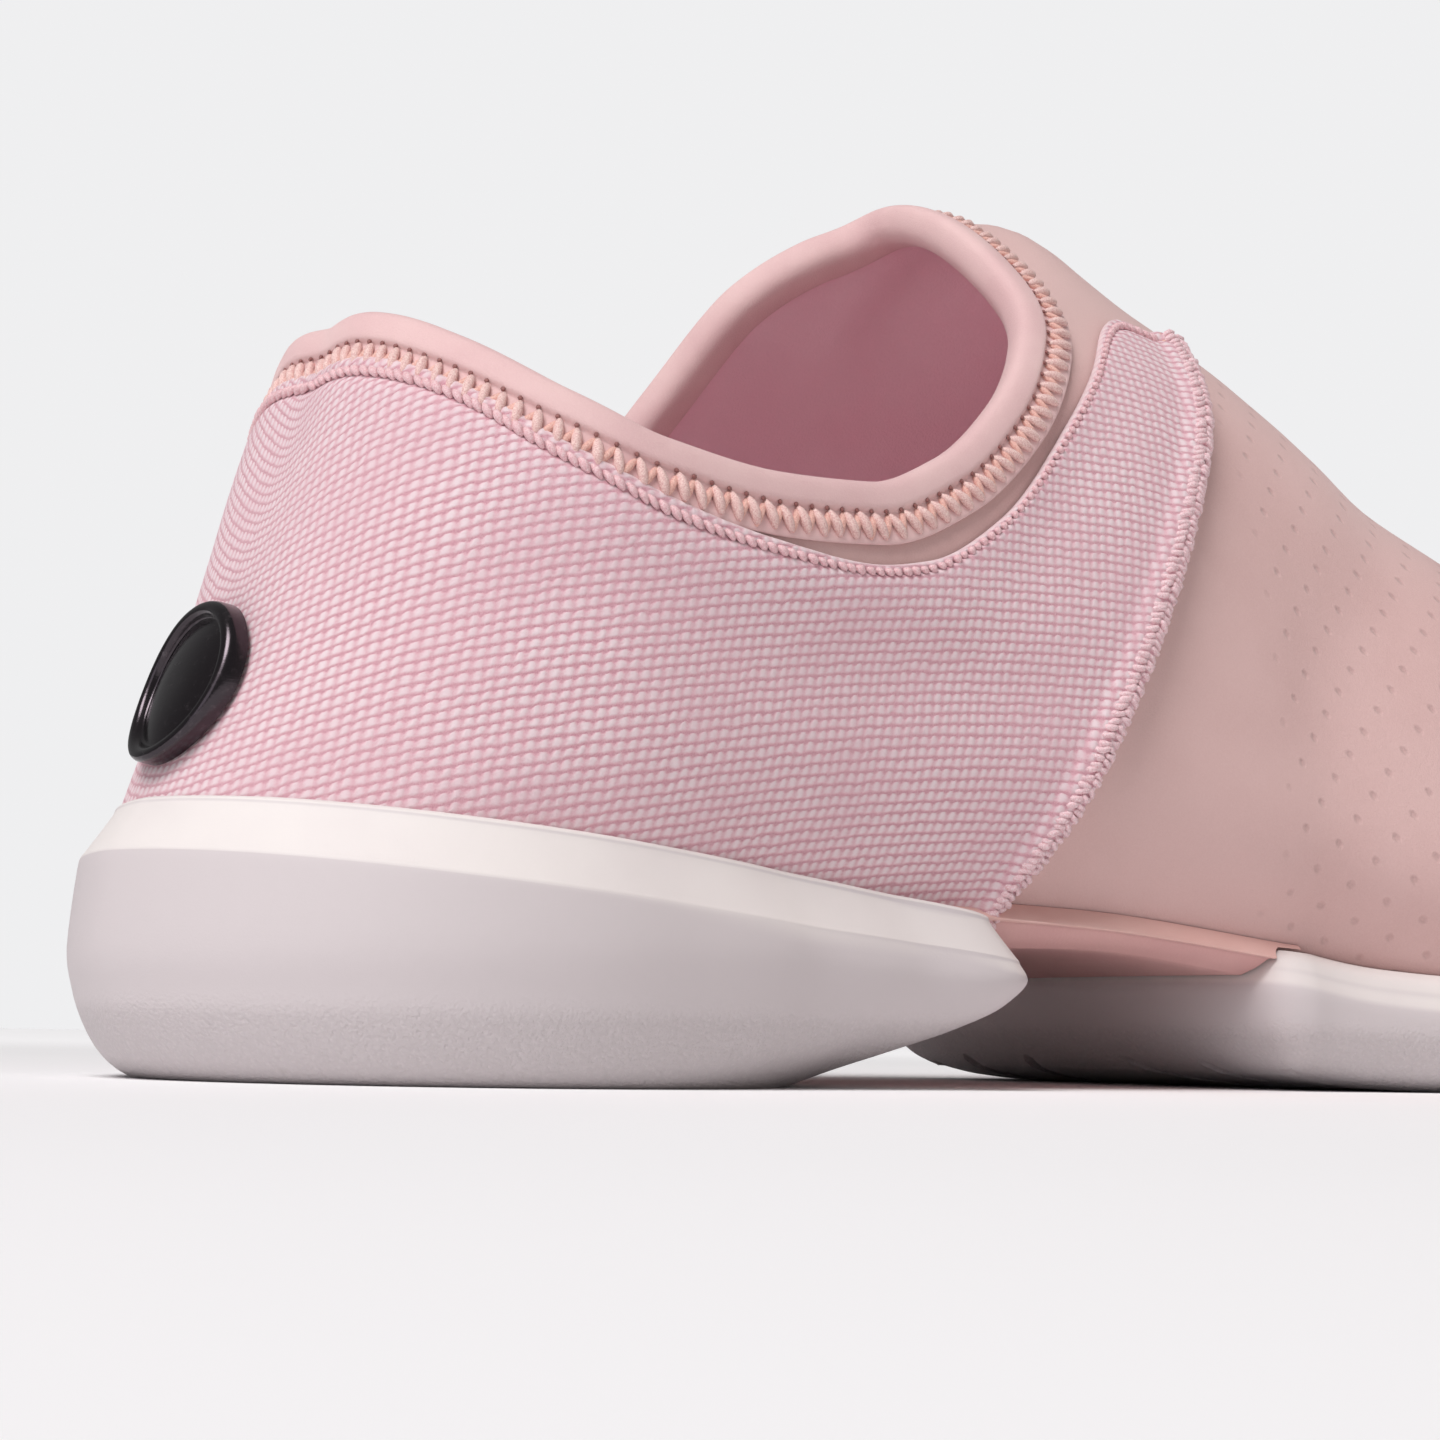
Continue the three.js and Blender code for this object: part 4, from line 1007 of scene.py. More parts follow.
def make_quarter():
    outsides, insides, cloths = [], [], []
    rng = np.random.default_rng(7)
    for side in SIDES:
        u, v, off_top, off_seam = quarter_grid(side)
        place, share = quarter_spot(side, u, v)
        out = top_shape(off_top) + seam_shape(off_seam) * np.clip(off_top / 0.6, 0.4, 1)
        out += rng.normal(0, 0.02, out.shape) * (off_top < 1)
        inner = np.where(out > GAP + HEM_THICKNESS, GAP, out - HEM_THICKNESS)
        outsides.append(skin(side, place, share, out)[0])
        insides.append(skin(side, place, share, inner)[0])
        cloth = cloth_from_foot(side, place, share)
        # The cloth's third value fades from the top edge; the canvas look paints the paler fold and its
        # painted highlight by it.
        cloth[..., 2] = np.exp(-off_top / EDGE_FADE)
        cloths.append(cloth)

    def round_the_heel(outer, inner):
        return np.concatenate([outer[:, ::-1], inner[:, 1:]], 1)

    form = Form()
    cloth = round_the_heel(*cloths)
    rows, columns = cloth.shape[:2]
    form.add(round_the_heel(*outsides), grid_faces(rows, columns, flip=True), 0, cloth)
    form.add(round_the_heel(*insides), grid_faces(rows, columns), 0, cloth)
    border = [(0, j) for j in range(columns)] + [(i, columns - 1) for i in range(1, rows)]
    border += [(rows - 1, j) for j in range(columns - 2, -1, -1)] + [(i, 0) for i in range(rows - 2, -1, -1)]
    form.bridge([i * columns + j for i, j in border], rows * columns)
    show("canvas_quarter", form.mesh("quarter", weld=0.001), [CANVAS], ["quarter"])


make_quarter()


# Stitching.
def by_length(points, *others):
    """Resamplers of a path and what goes with it, by the distance along it."""
    length = distances(points)

    def at(distance):
        return [np.stack([np.interp(distance, length, values[:, k]) for k in range(3)], -1)
                for values in (points, *others)]

    return at, length[-1]


def stitch_starts(total, pitch, jitter, rng, offset=0.0):
    for k in range(int(total / pitch)):
        yield (k + offset) * pitch + rng.uniform(-jitter, jitter)


EDGE_STITCH = {"below": 1.75, "pitch": 1.12, "slant": 0.85, "radius": 0.42, "out": 1.16, "from_seam": 3.0}


def make_edge_stitch():
    """A rope of slanted backstitches below the overlay's top edge."""
    form = Form()
    rng = np.random.default_rng(11)
    pitch = EDGE_STITCH["pitch"]
    share = np.linspace(0, 1, 6)
    swell = np.sin(share * math.pi)
    for side in SIDES:
        u = np.linspace(0.0, 1 - EDGE_STITCH["from_seam"] / quarter_length(side), 500)
        heights = quarter_heights(side, u)
        lines = []
        for across in (-0.5, 0.5):
            below = EDGE_STITCH["below"] + across * EDGE_STITCH["slant"]
            lines.append(by_length(*quarter_point(side, u, 1 - below / heights, EDGE_STITCH["out"])))
        total = lines[0][1]
        for start in stitch_starts(total, pitch, 0.1, rng):
            distance = start + share * pitch * 1.12
            (low, normal), (high, _) = [at(distance * length / total) for at, length in lines]
            path = low * (1 - share[:, None]) + high * share[:, None]
            lift = 0.20 * swell - 0.06
            radius = EDGE_STITCH["radius"] * (0.45 + 0.55 * swell) * rng.uniform(0.85, 1.1)
            tube(form, path + normal * lift[:, None], radius)
    show("canvas_edge_stitches", form.mesh("edge_stitches"), [PINK_THREAD])


make_edge_stitch()

OVERLOCK = {"pitch": 0.78, "radius": 0.30, "slant": 0.62}
CHAIN = {"pitch": 1.3, "off": 2.6, "out": OUTSIDE + 0.12, "from": 0.1, "to": 0.7}
# Paths of the two rows of loops that whip the seam: off is from the seam's edge, out from the upper's
# surface, on the share of the loop's slant along the seam.
INNER_LOOP = table(
    "off out on", (2.35, 1.62, 0), (2.15, 2.02, 0.15), (1.75, 2.30, 0.5), (1.35, 2.36, 0.85),
    (1.1, 2.1, 1))
OUTER_LOOP = table(
    "off out on", (1.35, 2.12, 0), (1.05, 2.42, -0.2), (0.55, 2.36, -0.6), (0.12, 1.9, -0.9),
    (-0.05, 1.0, -1))
LOOP_THICKNESS = np.array([0.65, 1.0, 1.15, 1.0, 0.7])
CHAIN_THICKNESS = [0.14, 0.24, 0.24, 0.14]


def make_overlock():
    """Whipped edge of the front seam, with a peach needle thread along its inner side."""
    form = Form()
    rng = np.random.default_rng(23)
    v = np.linspace(0.0, 1.0, 400)
    for side in SIDES:
        across = quarter_length(side)
        for loop, offset in ((INNER_LOOP, 0.0), (OUTER_LOOP, 0.5)):
            courses = [quarter_point(side, 1 - off / across, v, out)[0] for off, out, _ in rows_of(loop)]
            lines = [by_length(points) for points in courses]
            length = lines[0][1]
            for start in stitch_starts(length, OVERLOCK["pitch"], 0.13, rng, offset):
                slant = OVERLOCK["slant"] * rng.uniform(0.5, 1.5)
                path = []
                for (at, total), on in zip(lines, loop["on"]):
                    path.append(at(np.clip(start + slant * on, 0, length) * total / length)[0])
                path = np.array(path)
                path[1:-1] += rng.normal(0, 0.08, (len(path) - 2, 3))
                tube(form, path, OVERLOCK["radius"] * LOOP_THICKNESS * rng.uniform(0.85, 1.2, len(path)))
        at, total = by_length(quarter_point(side, 1 - CHAIN["off"] / across, v, CHAIN["out"])[0])
        for start in stitch_starts(total, CHAIN["pitch"], 0.15, rng):
            path = at(start + np.linspace(CHAIN["from"], CHAIN["to"], 4))[0]
            tube(form, path, CHAIN_THICKNESS, look=1)
    show("front_seam_stitches", form.mesh("overlock"), [WHIP_THREAD, PEACH_THREAD_AND_SHADE])


make_overlock()

# The collar's binding: a rolled band over the rim with a flat apron below it, held down by a zigzag.
BINDING_ROLL = table(
    "out up", (1.02, -1.25), (1.12, -0.6), (1.14, 0.1), (1.02, 0.8), (0.66, 1.32), (0.1, 1.58), (-0.6, 1.66),
    (-1.3, 1.62), (-2.0, 1.42), (-2.6, 1.0), (-2.98, 0.4), (-3.08, -0.4), (-3.04, -1.4), (-2.9, -2.3),
    (-2.5, -2.9), (-2.05, -3.0), (-1.9, -2.0), (-1.0, -1.6), (0.1, -3.9), (0.12, -4.6), (0.3, -4.72),
    (0.46, -4.5), (0.52, -3.8), (0.5, -2.8), (0.46, -2.1), (0.5, -1.7), (0.78, -1.5))
RIM_COLUMNS = 220


def rim_frames():
    """Points of the rim once round, with the directions out of the skin and up to the rim's edge."""
    along = np.linspace(0, 1, RIM_COLUMNS + 1)
    outer, inner = (skin(side, *rim_line(side, along)) for side in SIDES)
    points, normals = (round_the_shoe(*pair) for pair in zip(outer, inner))
    tangent = unit(np.roll(points, -1, 0) - np.roll(points, 1, 0))
    up = unit(np.cross(normals, tangent))
    return points, normals, up * np.where(up[:, 2:] < 0, -1, 1)


RIM_POINTS, RIM_NORMALS, RIM_UPS = rim_frames()


def make_binding():
    section = rows_of(BINDING_ROLL)
    section = refined(np.concatenate([section, section[:1]]), 2)[:-1]
    rings = np.stack([RIM_POINTS + RIM_NORMALS * out + RIM_UPS * up for out, up in [*section, section[0]]])
    show("rolled_binding", ring_mesh("binding", rings, 0.001), [BINDING_CLOTH], ["collar_binding"])


make_binding()

# The zigzag's two legs: the share of the pitch that each takes, its thickness, and how far out it lies.
ZIGZAG = {"pitch": 1.75, "top": -1.85, "bottom": -4.25, "out": 0.66, "radius": 0.50}
LEGS = table("from share thickness lift arch", (0, 0.52, 1, 0, 0.24), (0.52, 0.48, 0.78, -0.16, 0.12))
NEEDLE = {"back": 0.12, "over_top": 0.22}


def make_zigzag():
    """Thick slanted stitches round the binding's lower edge, each with a hole and a thread back under it; the
    front legs are paler as painted highlight, the back legs darker as painted shade, and a dark plug in each
    hole is painted shade.
    """
    form = Form()
    rng = np.random.default_rng(31)
    rim = (RIM_POINTS, RIM_NORMALS, RIM_UPS)
    at, total = by_length(*(np.concatenate([values, values[:1]]) for values in rim))
    teeth = int(total / ZIGZAG["pitch"])
    pitch = total / teeth
    share = np.linspace(0, 1, 7)
    arch = np.sin(share * math.pi)
    fall = ZIGZAG["bottom"] - ZIGZAG["top"]
    for k in range(teeth):
        for back, leg in enumerate(named_rows(LEGS)):
            distance = (k + leg["from"] + share * leg["share"] + rng.uniform(-0.05, 0.05)) * pitch
            point, normal, up = at(distance % total)
            down = 1 - share if back else share
            height = ZIGZAG["top"] + fall * down + rng.uniform(-0.1, 0.1)
            lift = ZIGZAG["out"] + leg["arch"] * arch + leg["lift"]
            path = point + unit(normal) * lift[:, None] + unit(up) * height[:, None]
            thickness = leg["thickness"] if back else rng.uniform(0.92, 1.08)
            # Front legs take the pale thread as painted highlight, back legs the darker peach thread as
            # painted shade: lit and shaded copies of one thread.
            tube(form, path, ZIGZAG["radius"] * (0.45 + 0.55 * arch**0.6) * thickness, look=back)
        # A short dark plug at each needle hole is painted shade in the hole.
        point, normal, up = at((k - NEEDLE["back"]) * pitch % total)
        hole = point + unit(up) * (ZIGZAG["top"] + NEEDLE["over_top"])
        tube(form, hole + unit(normal) * np.array([[0.72], [0.86], [0.92]]), [0.24, 0.24, 0.18], look=2)
    looks = [PALE_THREAD_HIGHLIGHT, PEACH_THREAD_AND_SHADE, NEEDLE_HOLE_SHADE]
    show("collar_zigzag_stitches", form.mesh("zigzag"), looks)


make_zigzag()

# The insole: a soft board on the lasting margin, with a rounded edge.
INSOLE_EDGE = table(
    "inset up", (6.0, 2.6), (3.7, 2.75), (3.45, 3.6), (3.4, 4.6), (3.6, 5.2), (4.2, 5.52), (5.2, 5.6))


def make_insole():
    places = np.linspace(0, TOE, 141)
    edge = rows_of(INSOLE_EDGE)
    rings = np.array([seat_ring(places, *row) for row in [(None, edge[0, 1]), *edge, (None, edge[-1, 1])]])
    show("padded_insole", ring_mesh("insole", rings, 0.02), [LINING], ["insole"])


make_insole()

# The heel unit. toFloor: share of the way from the widest outline to the floor's; inset: in from the widest
# outline; up: height from the floor or from the lip; wingUp: the same height out on the wings.
HEEL_WALL = table(
    "toFloor inset up wingUp fromLip",
    (1.00, 0.0, 0.0, 0.0, 0),
    (0.92, 0.0, 0.12, 0.7, 0),
    (0.80, 0.0, 0.5, 1.7, 0),
    (0.55, 0.0, 1.8, 3.6, 0),
    (0.30, 0.0, 4.2, 5.6, 0),
    (0.10, 0.0, 7.6, 7.8, 0),
    (0.00, 0.0, 11.5, 10.2, 0),
    (0.00, 0.72, -5.3, -4.3, 1),
    (0.00, 0.86, -4.95, -3.95, 1),
    (0.00, 1.02, -4.75, -3.78, 1),
    (0.00, 3.55, -0.75, -0.75, 1),
    (0.00, 3.75, -0.25, -0.25, 1),
    (0.00, 4.25, 0.0, 0.0, 1),
)
HEEL_AROUND = 200
HEEL_DISC_DEPTH = 6.5
FOREFOOT_DISC_DEPTH = 4.2
# The ring groove round the disc. splay and foot: its lower corners, in half widths and above the floor.
HEEL_GROOVE = {
    "radius": 28.1, "half": 0.95, "depth": 1.5, "spring": 0.4,
    "splay": np.array([1.6, 1.12]), "foot": np.array([-0.6, 0.25])}
CANVAS_ROOM = ((-10, -60, 15.2), (84, 60, 60))
SOLE_ROOM = 0.1


def heel_rings(grow=0.0, steps=5):
    turn = np.linspace(0, 360, HEEL_AROUND, endpoint=False)
    lips, floors, wings = (at(np.minimum(turn, 360 - turn)) for at in HEEL_PLAN_AT.values())
    levels = []
    for row in named_rows(HEEL_WALL):
        lip = lips * HALF_HEEL - row["inset"]
        reach = lip + (floors * HALF_HEEL - lip) * row["toFloor"] + grow
        x = PIVOT_X - reach * np.cos(np.radians(turn))
        y = -reach * np.sin(np.radians(turn))
        z = row["up"] + (row["wingUp"] - row["up"]) * wings
        z = z + (heel_lip(x) + grow) * row["fromLip"]
        levels.append(np.stack([x, y, z], -1))
    fine = refined(np.reshape(levels, (len(levels), -1)), steps)
    return fine.reshape(len(fine), HEEL_AROUND, 3)


# Wall of the pivot's recess, from the floor up: out from the disc's own gap.
RECESS_WALL = table("out z", (2.6, -1.2), (1.75, 0.0), (1.45, 0.25), (0.35, 2.1), (0.0, 2.6))


def recess(depth, centre):
    radius = DISC_RADIUS + GAP
    wall = rows_of(RECESS_WALL) + [radius, 0]
    return turned([(0, wall[0, 1]), *wall, (radius, depth + GAP), (0, depth + GAP)], centre)


def canvas_room():
    """The room in the heel unit for the last with its canvas, from the canvas's foot up."""
    low, high = CANVAS_ROOM
    corners = [(x, y, z) for z in (low[2], high[2]) for y in (low[1], high[1]) for x in (low[0], high[0])]
    form = Form()
    form.add(corners, [[0, 2, 3, 1], [4, 5, 7, 6], [0, 1, 5, 4], [1, 3, 7, 5], [3, 2, 6, 7], [2, 0, 4, 6]])
    return carved(last_form(OUTSIDE + SOLE_ROOM), form.mesh("block"), operation="INTERSECT")


def make_heel_sole():
    centre = (PIVOT_X, 0)
    cutters = [last_form(SOLE_ROOM), canvas_room()]
    cutters += [recess(HEEL_DISC_DEPTH, centre), ring_cutter(centre, HEEL_GROOVE)]
    mesh = carved(closed_rings(heel_rings()).mesh("heel"), *cutters)
    show("heel_unit", mesh, [SOLE], ["heel_sole"], sharp=38)


make_heel_sole()

# The forefoot unit: its outline is the last's feather edge, one welt outside it.
FOREFOOT_WALL = table(
    "inset up", (7.4, -4.0), (7.2, -1.0), (6.6, 0.0), (5.2, 0.3), (3.6, 0.9), (1.3, 2.8), (0.2, 5.4),
    (0.0, 7.4), (0.7, 9.4), (1.0, 10.2), (1.4, 10.9), (2.0, 11.5), (2.8, 12.0))
# Rows higher than this are the wall's top, which grows upwards too.
FOREFOOT_TOP_FROM = 9
FOREFOOT_CORNER = 5.0
BACK_BULGE = 0.8
GROOVE_POINTS = 60
CUTTER_LENGTH = (100, 270)
CUTTER_SIDE = 80.0
CUTTER_FLOOR = -20.0
# Shallow grooves under the forefoot, as arcs about a centre between two angles.
ARCS = table(
    "x y radius from to",
    (172, 1, 27, -70, 70),
    (172, 1, 33, 120, 240),
    (172, 1, 27, 130, 250),
    (172, 1, 33, -60, 60),
    (172, 1, 39, 205, 330),
    (172, 1, 39, 30, 110),
    (150, 64, 78, 232, 262),
    (150, -62, 78, 98, 128),
    (146, 70, 92, 244, 268),
    (146, -68, 92, 92, 116),
)


def forefoot_outline():
    """Outline from above: round the toe one welt outside the last, and cut across behind the ball."""
    start = bisect(3.0, 8.0, lambda p: SPINE_AT["along"](p) * SHOE_LENGTH > FOREFOOT_BACK + FOREFOOT_CORNER)
    places = np.linspace(float(start), TOE, 90)
    edges = []
    for side in SIDES:
        at = station(side, places)
        edges.append(point_at(at, at["foot"] + WELT, 0 * places)[:, :2])
    outer, inner = edges[0], edges[1][-2::-1]
    low, high = outer[0, 1], inner[-1, 1]
    turn = np.radians(np.linspace(10, 90, 7))
    corner = np.stack([1 - np.sin(turn), 1 - np.cos(turn)], -1) * FOREFOOT_CORNER
    across = np.linspace(0.15, 0.85, 15)
    bulge = np.stack([-BACK_BULGE * np.sin(math.pi * across), high + (low - high) * across], -1)
    back = np.concatenate([corner * [1, -1] + [0, high], bulge, corner[::-1] + [0, low]])
    return np.concatenate([outer, inner, back + [FOREFOOT_BACK, 0]])


def forefoot_rings(grow=0.0, steps=4):
    outline = forefoot_outline()
    along = unit(np.roll(outline, -1, 0) - np.roll(outline, 1, 0))
    inwards = np.stack([-along[:, 1], along[:, 0]], -1)
    rings = []
    for inset, up in refined(rows_of(FOREFOOT_WALL), steps):
        flat = outline + inwards * (inset - grow)
        raised = up + grow if up > FOREFOOT_TOP_FROM else up
        rings.append(np.concatenate([flat, (forefoot_bottom(flat[:, 0]) + raised)[:, None]], 1))
    return np.array(rings)


def bottom_cutter():
    """All that is under the forefoot's curved bottom."""
    x = np.linspace(*CUTTER_LENGTH, 171)
    bottom = forefoot_bottom(x)
    edges = [(-1, bottom), (1, bottom), (1, CUTTER_FLOOR), (-1, CUTTER_FLOOR)]
    rows = [np.stack(np.broadcast_arrays(x, y * CUTTER_SIDE, z), -1) for y, z in [*edges, edges[0]]]
    form = Form()
    form.add(rows, grid_faces(len(rows), len(x)))
    for j in (0, len(x) - 1):
        form.faces.append([j + k * len(x) for k in range(len(edges))])
        form.looks.append(0)
    return form.mesh("bottom", weld=0.0001)


def arc_cutter(row):
    """A round bar along an arc, half sunk into the forefoot's underside."""
    turn = np.radians(np.linspace(row["from"], row["to"], GROOVE_POINTS))
    x = row["x"] + row["radius"] * np.cos(turn)
    y = row["y"] + row["radius"] * np.sin(turn)
    radius = 0.25 + 0.65 * np.sin(np.linspace(0, 1, GROOVE_POINTS) * math.pi) ** 0.35
    form = Form()
    tube(form, np.stack([x, y, forefoot_bottom(x)], -1), radius, 10)
    return form.mesh("arc", weld=0.0001)


def make_forefoot_sole():
    cutters = [bottom_cutter(), last_form(SOLE_ROOM), recess(FOREFOOT_DISC_DEPTH, FOREFOOT_PIVOT)]
    cutters += [arc_cutter(row) for row in named_rows(ARCS)]
    mesh = carved(closed_rings(forefoot_rings()).mesh("forefoot"), *cutters)
    show("forefoot_unit", mesh, [SOLE], ["forefoot_sole"], sharp=38)


make_forefoot_sole()

# The arch panel: a rubbery skin under the last, with a bead along both top edges, whose rows take a lighter
# copy of the rubber as a painted highlight.
ARCH_BACK, ARCH_FRONT = 66.0, 120.5
ARCH_COLUMNS = 60
ARCH_TOP = table("x z", (66, 18), (92, 17.6), (120.5, 15))
arch_top = curve(ARCH_TOP, "x", "z")
ARCH_THICKNESS = 2.3
ARCH_EDGE = 0.2
ARCH_INSIDE = 0.15
# Length that a share of 1 is taken for, from the foot of the wall to the ridge.
ARCH_WALL = 75.0
ARCH_GAP = 0.25
BEAD = {"height": 0.55, "off": 0.9, "width": 0.8}
LIP_HIGHLIGHT_ROWS = 7


def arch_side(side, places):
    """The outside and the inside of half of the panel, from the middle of its underside to its top edge."""
    top = bisect(0.0, 0.6, lambda s: over_line(side, places, s, arch_top) > 0)
    up = np.r_[np.linspace(0, 0.86, 24), np.linspace(0.88, 1, 9)][:, None]
    share = top * up
    off = (top - share) * ARCH_WALL
    bead = BEAD["height"] * np.exp(-((off - BEAD["off"]) / BEAD["width"]) ** 2)
    edge = np.clip(off / 0.7, 0, 1) ** 0.5
    out = ARCH_EDGE + (ARCH_THICKNESS + bead - ARCH_EDGE) * edge
    points = last_point(side, places, share)
    normal = last_normal(side, places, np.maximum(share, 0.01))
    at = station(OUTER, places)
    low = np.linspace(0.0, 1, 10, endpoint=False)[:, None, None]
    faces = []
    for grow, down in ((out[..., None], ARCH_THICKNESS), (ARCH_INSIDE, ARCH_INSIDE)):
        wall = points + normal * grow
        middle = point_at(at, 0 * places, at["seat"] - down)
        faces.append(np.concatenate([middle * (1 - low) + wall[0] * low, wall]))
    return faces


def make_arch_panel():
    spots = np.linspace(ARCH_BACK, ARCH_FRONT, ARCH_COLUMNS)
    places = bisect(2.0, 7.0, lambda p: SPINE_AT["along"](p) * SHOE_LENGTH > spots)
    (outside, inside), (inner_outside, inner_inside) = (arch_side(side, places) for side in SIDES)
    rows = np.concatenate([outside[::-1], inner_outside[1:], inner_inside[::-1], inside[1:]])
    closed = np.concatenate([rows, rows[:1]])
    ring, half = len(rows), len(outside) * 2 - 1
    form = Form()
    form.add(closed, grid_faces(ring + 1, ARCH_COLUMNS))
    index = np.arange(ring)
    # The rows next to both top edges take the lighter rubber: a painted highlight on the bead.
    lip = (index < LIP_HIGHLIGHT_ROWS) | (np.abs(index - half - 1) < LIP_HIGHLIGHT_ROWS)
    form.looks = [int(flag) for flag in np.repeat(lip, ARCH_COLUMNS - 1)]
    for j in (0, ARCH_COLUMNS - 1):
        for i in range(half - 1):
            corners = (i, i + 1, (ring - 2 - i) % ring, ring - 1 - i)
            form.faces.append([corner * ARCH_COLUMNS + j for corner in corners])
            form.looks.append(0)
    blank = form.mesh("arch", weld=0.005)
    blank.materials.append(ARCH_RUBBER)
    blank.materials.append(ARCH_LIP_HIGHLIGHT)
    soles = [closed_rings(rings(ARCH_GAP)).mesh("sole") for rings in (heel_rings, forefoot_rings)]
    looks = [ARCH_RUBBER, ARCH_LIP_HIGHLIGHT]
    show("arch_membrane", carved(blank, *soles), looks, ["arch_panel"], sharp=50)


make_arch_panel()

# Pivot discs: radii and heights in shares of the disc's.
DISC_PROFILE = table(
    "r up", (0.00, 0.38), (0.12, 0.375), (0.24, 0.33), (0.33, 0.23), (0.39, 0.14), (0.44, 0.085),
    (0.51, 0.06), (0.57, 0.09), (0.605, 0.16), (0.63, 0.32), (0.65, 0.46), (0.70, 0.52), (0.75, 0.46),
    (0.77, 0.30), (0.79, 0.16), (0.83, 0.085), (0.89, 0.055), (0.94, 0.08), (0.97, 0.13), (0.99, 0.21),
    (1.00, 0.32), (1.00, 0.99), (0.99, 1.0))


def make_disc(name, depth, centre, node):
    profile = refined(rows_of(DISC_PROFILE) * [DISC_RADIUS, depth], 3)
    mesh = turned([*profile, (0, depth)], centre, 144)
    show(name, mesh, [DISC_RUBBER], [node], sharp=50)


make_disc("heel_pivot", HEEL_DISC_DEPTH, (PIVOT_X, 0.0), "heel_pivot_disc")
make_disc("forefoot_pivot", FOREFOOT_DISC_DEPTH, FOREFOOT_PIVOT, "forefoot_pivot_disc")

# The plain oval plate on the heel's back.
BADGE = {"middle": 34.6, "half_height": 7.4, "half_width": 7.8}
BADGE_LEAN = 0.15
BADGE_GAP = 0.2
BADGE_PROFILE = table(
    "r out", (0.0, 1.75), (0.3, 1.7), (0.55, 1.5), (0.7, 1.25), (0.775, 1.1), (0.8, 1.15), (0.82, 1.6),
    (0.85, 1.9), (0.9, 2.05), (0.95, 1.98), (0.985, 1.7), (1.0, 1.2), (1.0, 0.1))
# The plate's back, as the profile's last row.
BADGE_BACK = (0.9, 0.05)


def make_badge():
    mesh = last_form(OUTSIDE + BADGE_GAP)
    corners = [vertex.co.copy() for vertex in mesh.vertices]
    tree = BVHTree.FromPolygons(corners, [tuple(face.vertices) for face in mesh.polygons])
    turn = np.linspace(0, 2 * math.pi, 96, endpoint=False)
    rings = []
    for r, out in [*refined(rows_of(BADGE_PROFILE), 2)[1:], BADGE_BACK]:
        y = BADGE["half_width"] * r * np.cos(turn)
        z = BADGE["middle"] + BADGE["half_height"] * r * np.sin(turn)
        ring = []
        for py, pz in zip(y, z):
            hit = tree.ray_cast(Vector((-0.2, py * MM, pz * MM)), Vector((1, 0, 0)))[0]
            ring.append(np.array(hit) / MM + [MIDDLE_X - out, 0, BADGE_LEAN * out])
        rings.append(ring)
    mesh = closed_rings(rings).mesh("plate", weld=0.0001)
    show("heel_plate", mesh, [BADGE_METAL], ["heel_badge"], sharp=60)


make_badge()

# The floor, the light and the camera. The floor's half width is in metres, and its glow, which hides its far
# edge, grows between two distances in millimetres.
HALF_FLOOR = 3.0
FLOOR_GLOW = 0.16
GLOW_FROM, GLOW_TO = 200.0, 600.0


def make_floor():
    mesh = bpy.data.meshes.new("floor")
    corners = [(x * HALF_FLOOR, y * HALF_FLOOR, 0) for x, y in ((-1, -1), (1, -1), (1, 1), (-1, 1))]
    mesh.from_pydata(corners, [], [(0, 1, 2, 3)])
    look = Look("pale_floor")
    place = look.place()
    x, y, _ = look.split(place)
    colour = look.drifting(look.noise(place, 0.004), (244, 243, 244), (247, 246, 247))
    distance = look.math("SQRT", x * x + y * y)
    glow = look.between(distance, GLOW_FROM, GLOW_TO) * FLOOR_GLOW
    mesh.materials.append(look.finish(
        colour, 0.95, Specular_IOR_Level=0.0, Emission_Color=(252, 252, 253), Emission_Strength=glow))
    floor = put_in_scene("floor", mesh)


make_floor()

LIGHT_TARGET = (-0.05, 0, 0.03)
SUN_ANGLE = 32
# Each light's name, kind, place, size, power and colour.
LIGHTS = (
    ("sky", "SUN", (-0.66, -0.26, 1.1), None, 1.95, (1.0, 0.985, 0.98)),
    ("key", "AREA", (-0.75, -0.35, 0.80), (0.55, 0.55), 2.1, (1.0, 0.98, 0.99)),
    ("side", "AREA", (-0.50, -0.12, 0.16), (0.30, 0.20), 0.18, (0.95, 0.93, 1.0)),
    ("warm", "AREA", (0.42, -0.30, 0.30), (0.25, 0.25), 0.16, (1.0, 0.82, 0.70)),
)


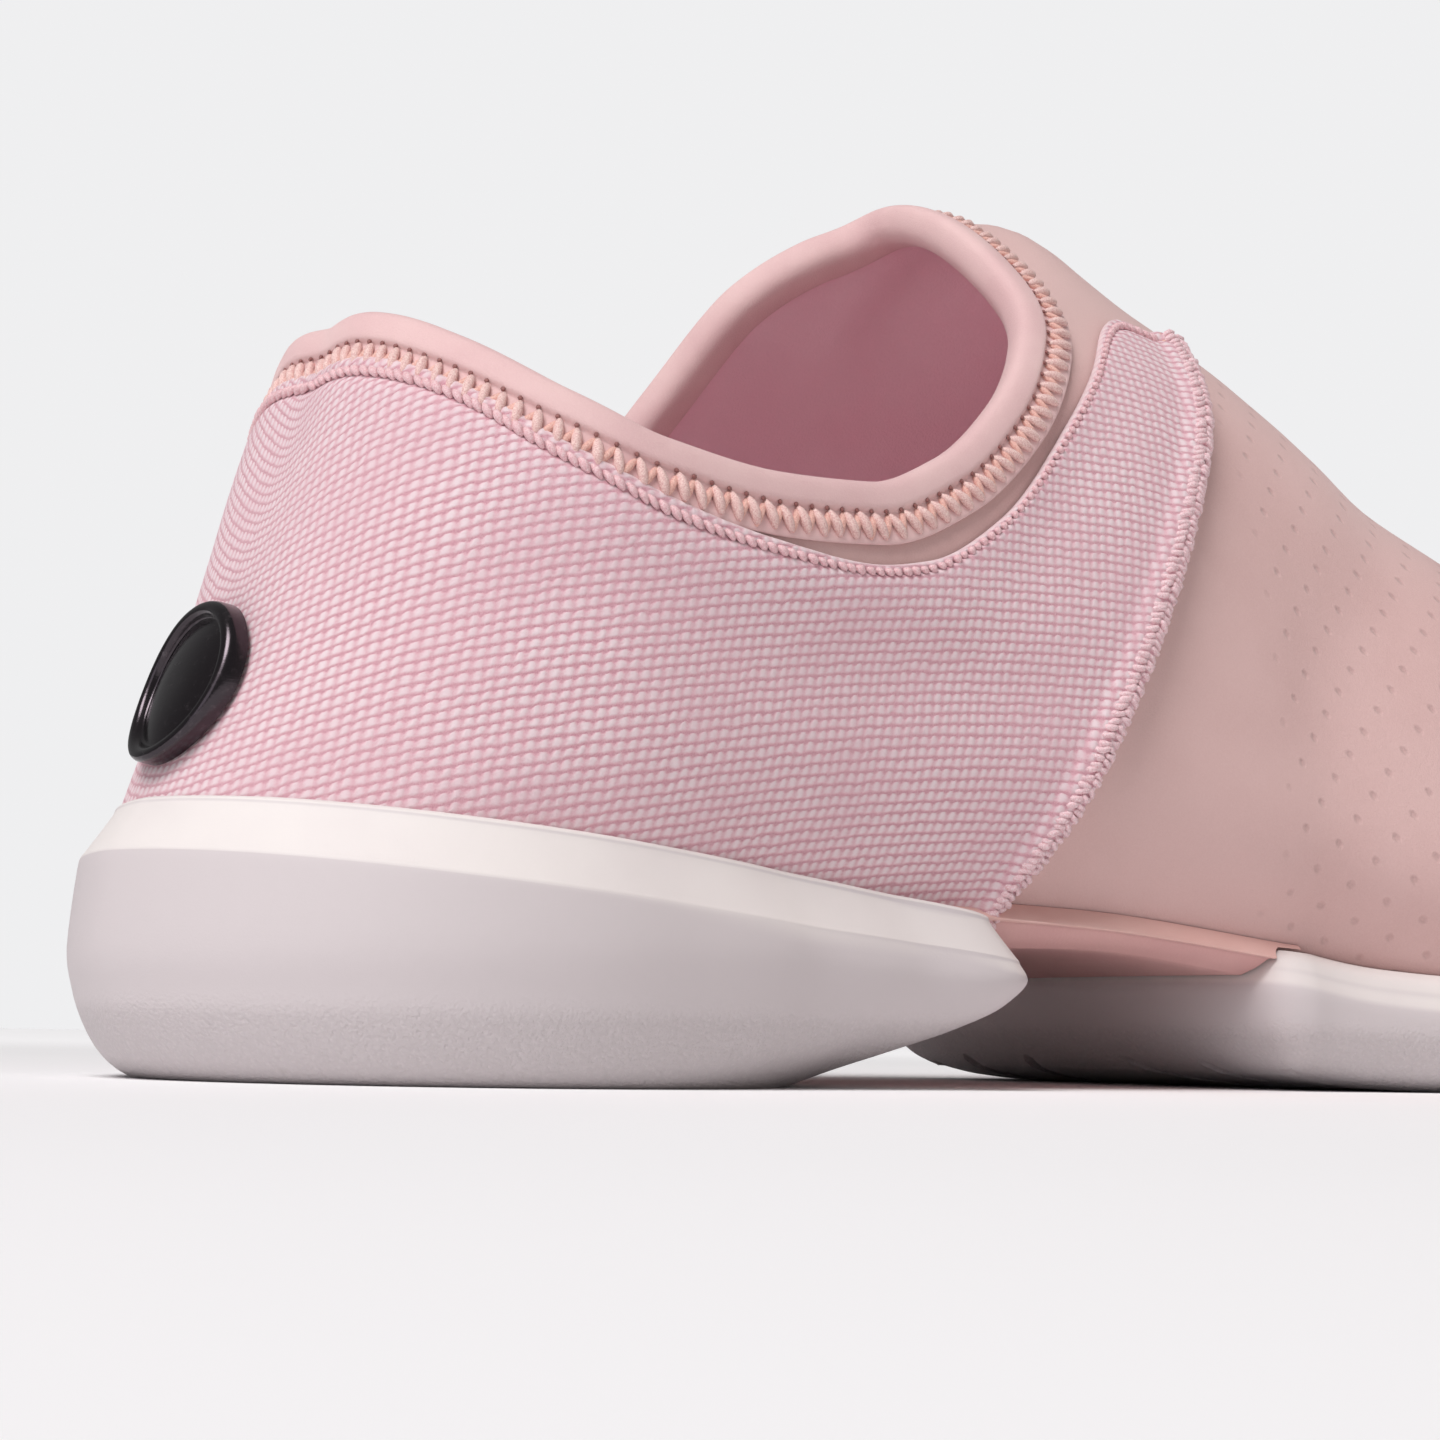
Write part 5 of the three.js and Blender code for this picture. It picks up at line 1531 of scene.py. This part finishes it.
def add_light(name, kind, place, size, power, colour):
    light = bpy.data.lights.new(name, kind)
    light.energy = power
    light.color = colour
    if kind == "SUN":
        light.angle = math.radians(SUN_ANGLE)
    else:
        light.shape = "RECTANGLE"
        light.size, light.size_y = size
    thing = put_in_scene(name, light)
    thing.location = place
    thing.rotation_euler = (Vector(LIGHT_TARGET) - thing.location).to_track_quat("-Z", "Y").to_euler()


for light in LIGHTS:
    add_light(*light)

WORLD_COLOUR = (0.96, 0.96, 0.97, 1)
WORLD_LIGHT = 0.22
WORLD_SEEN = 0.90


def make_world():
    """An even studio: dim as a light, and pale where the camera sees it."""
    world = bpy.data.worlds.new("studio")
    bpy.context.scene.world = world
    world.use_nodes = True
    nodes, links = world.node_tree.nodes, world.node_tree.links
    background = nodes["Background"]
    background.inputs["Color"].default_value = WORLD_COLOUR
    ray = nodes.new("ShaderNodeLightPath")
    strength = nodes.new("ShaderNodeMapRange")
    strength.inputs["To Min"].default_value = WORLD_LIGHT
    strength.inputs["To Max"].default_value = WORLD_SEEN
    links.new(ray.outputs["Is Camera Ray"], strength.inputs["Value"])
    links.new(strength.outputs["Result"], background.inputs["Strength"])


make_world()

# The photograph's camera looks up at the shoe from below the floor. Here it keeps that bearing and distance
# and stops just above the floor.
CAMERA_BEARING = 53.4
CAMERA_PITCH = 6.6
CAMERA_ROLL = -1.0
CAMERA_TARGET = (41.6, -34.3)
CAMERA_DISTANCE = 232.0
CAMERA_HEIGHT = 4.5
LENS = 68.5


def make_camera():
    camera = bpy.data.cameras.new("camera")
    camera.lens = LENS
    camera.sensor_width = 36.0
    camera.clip_start = 0.01
    camera.clip_end = 20.0
    thing = put_in_scene("camera", camera)
    bearing, pitch = math.radians(CAMERA_BEARING), math.radians(CAMERA_PITCH)
    ahead = Vector((math.cos(bearing), math.sin(bearing), 0))
    target = Vector((CAMERA_TARGET[0] - MIDDLE_X, CAMERA_TARGET[1], CAMERA_HEIGHT))
    thing.location = (target - ahead * CAMERA_DISTANCE) * MM
    direction = ahead * math.cos(pitch) + Vector((0, 0, math.sin(pitch)))
    roll = Quaternion(direction, math.radians(CAMERA_ROLL))
    thing.rotation_euler = (roll @ direction.to_track_quat("-Z", "Y")).to_euler()
    bpy.context.scene.camera = thing


make_camera()
bpy.context.scene.view_settings.view_transform = "Standard"
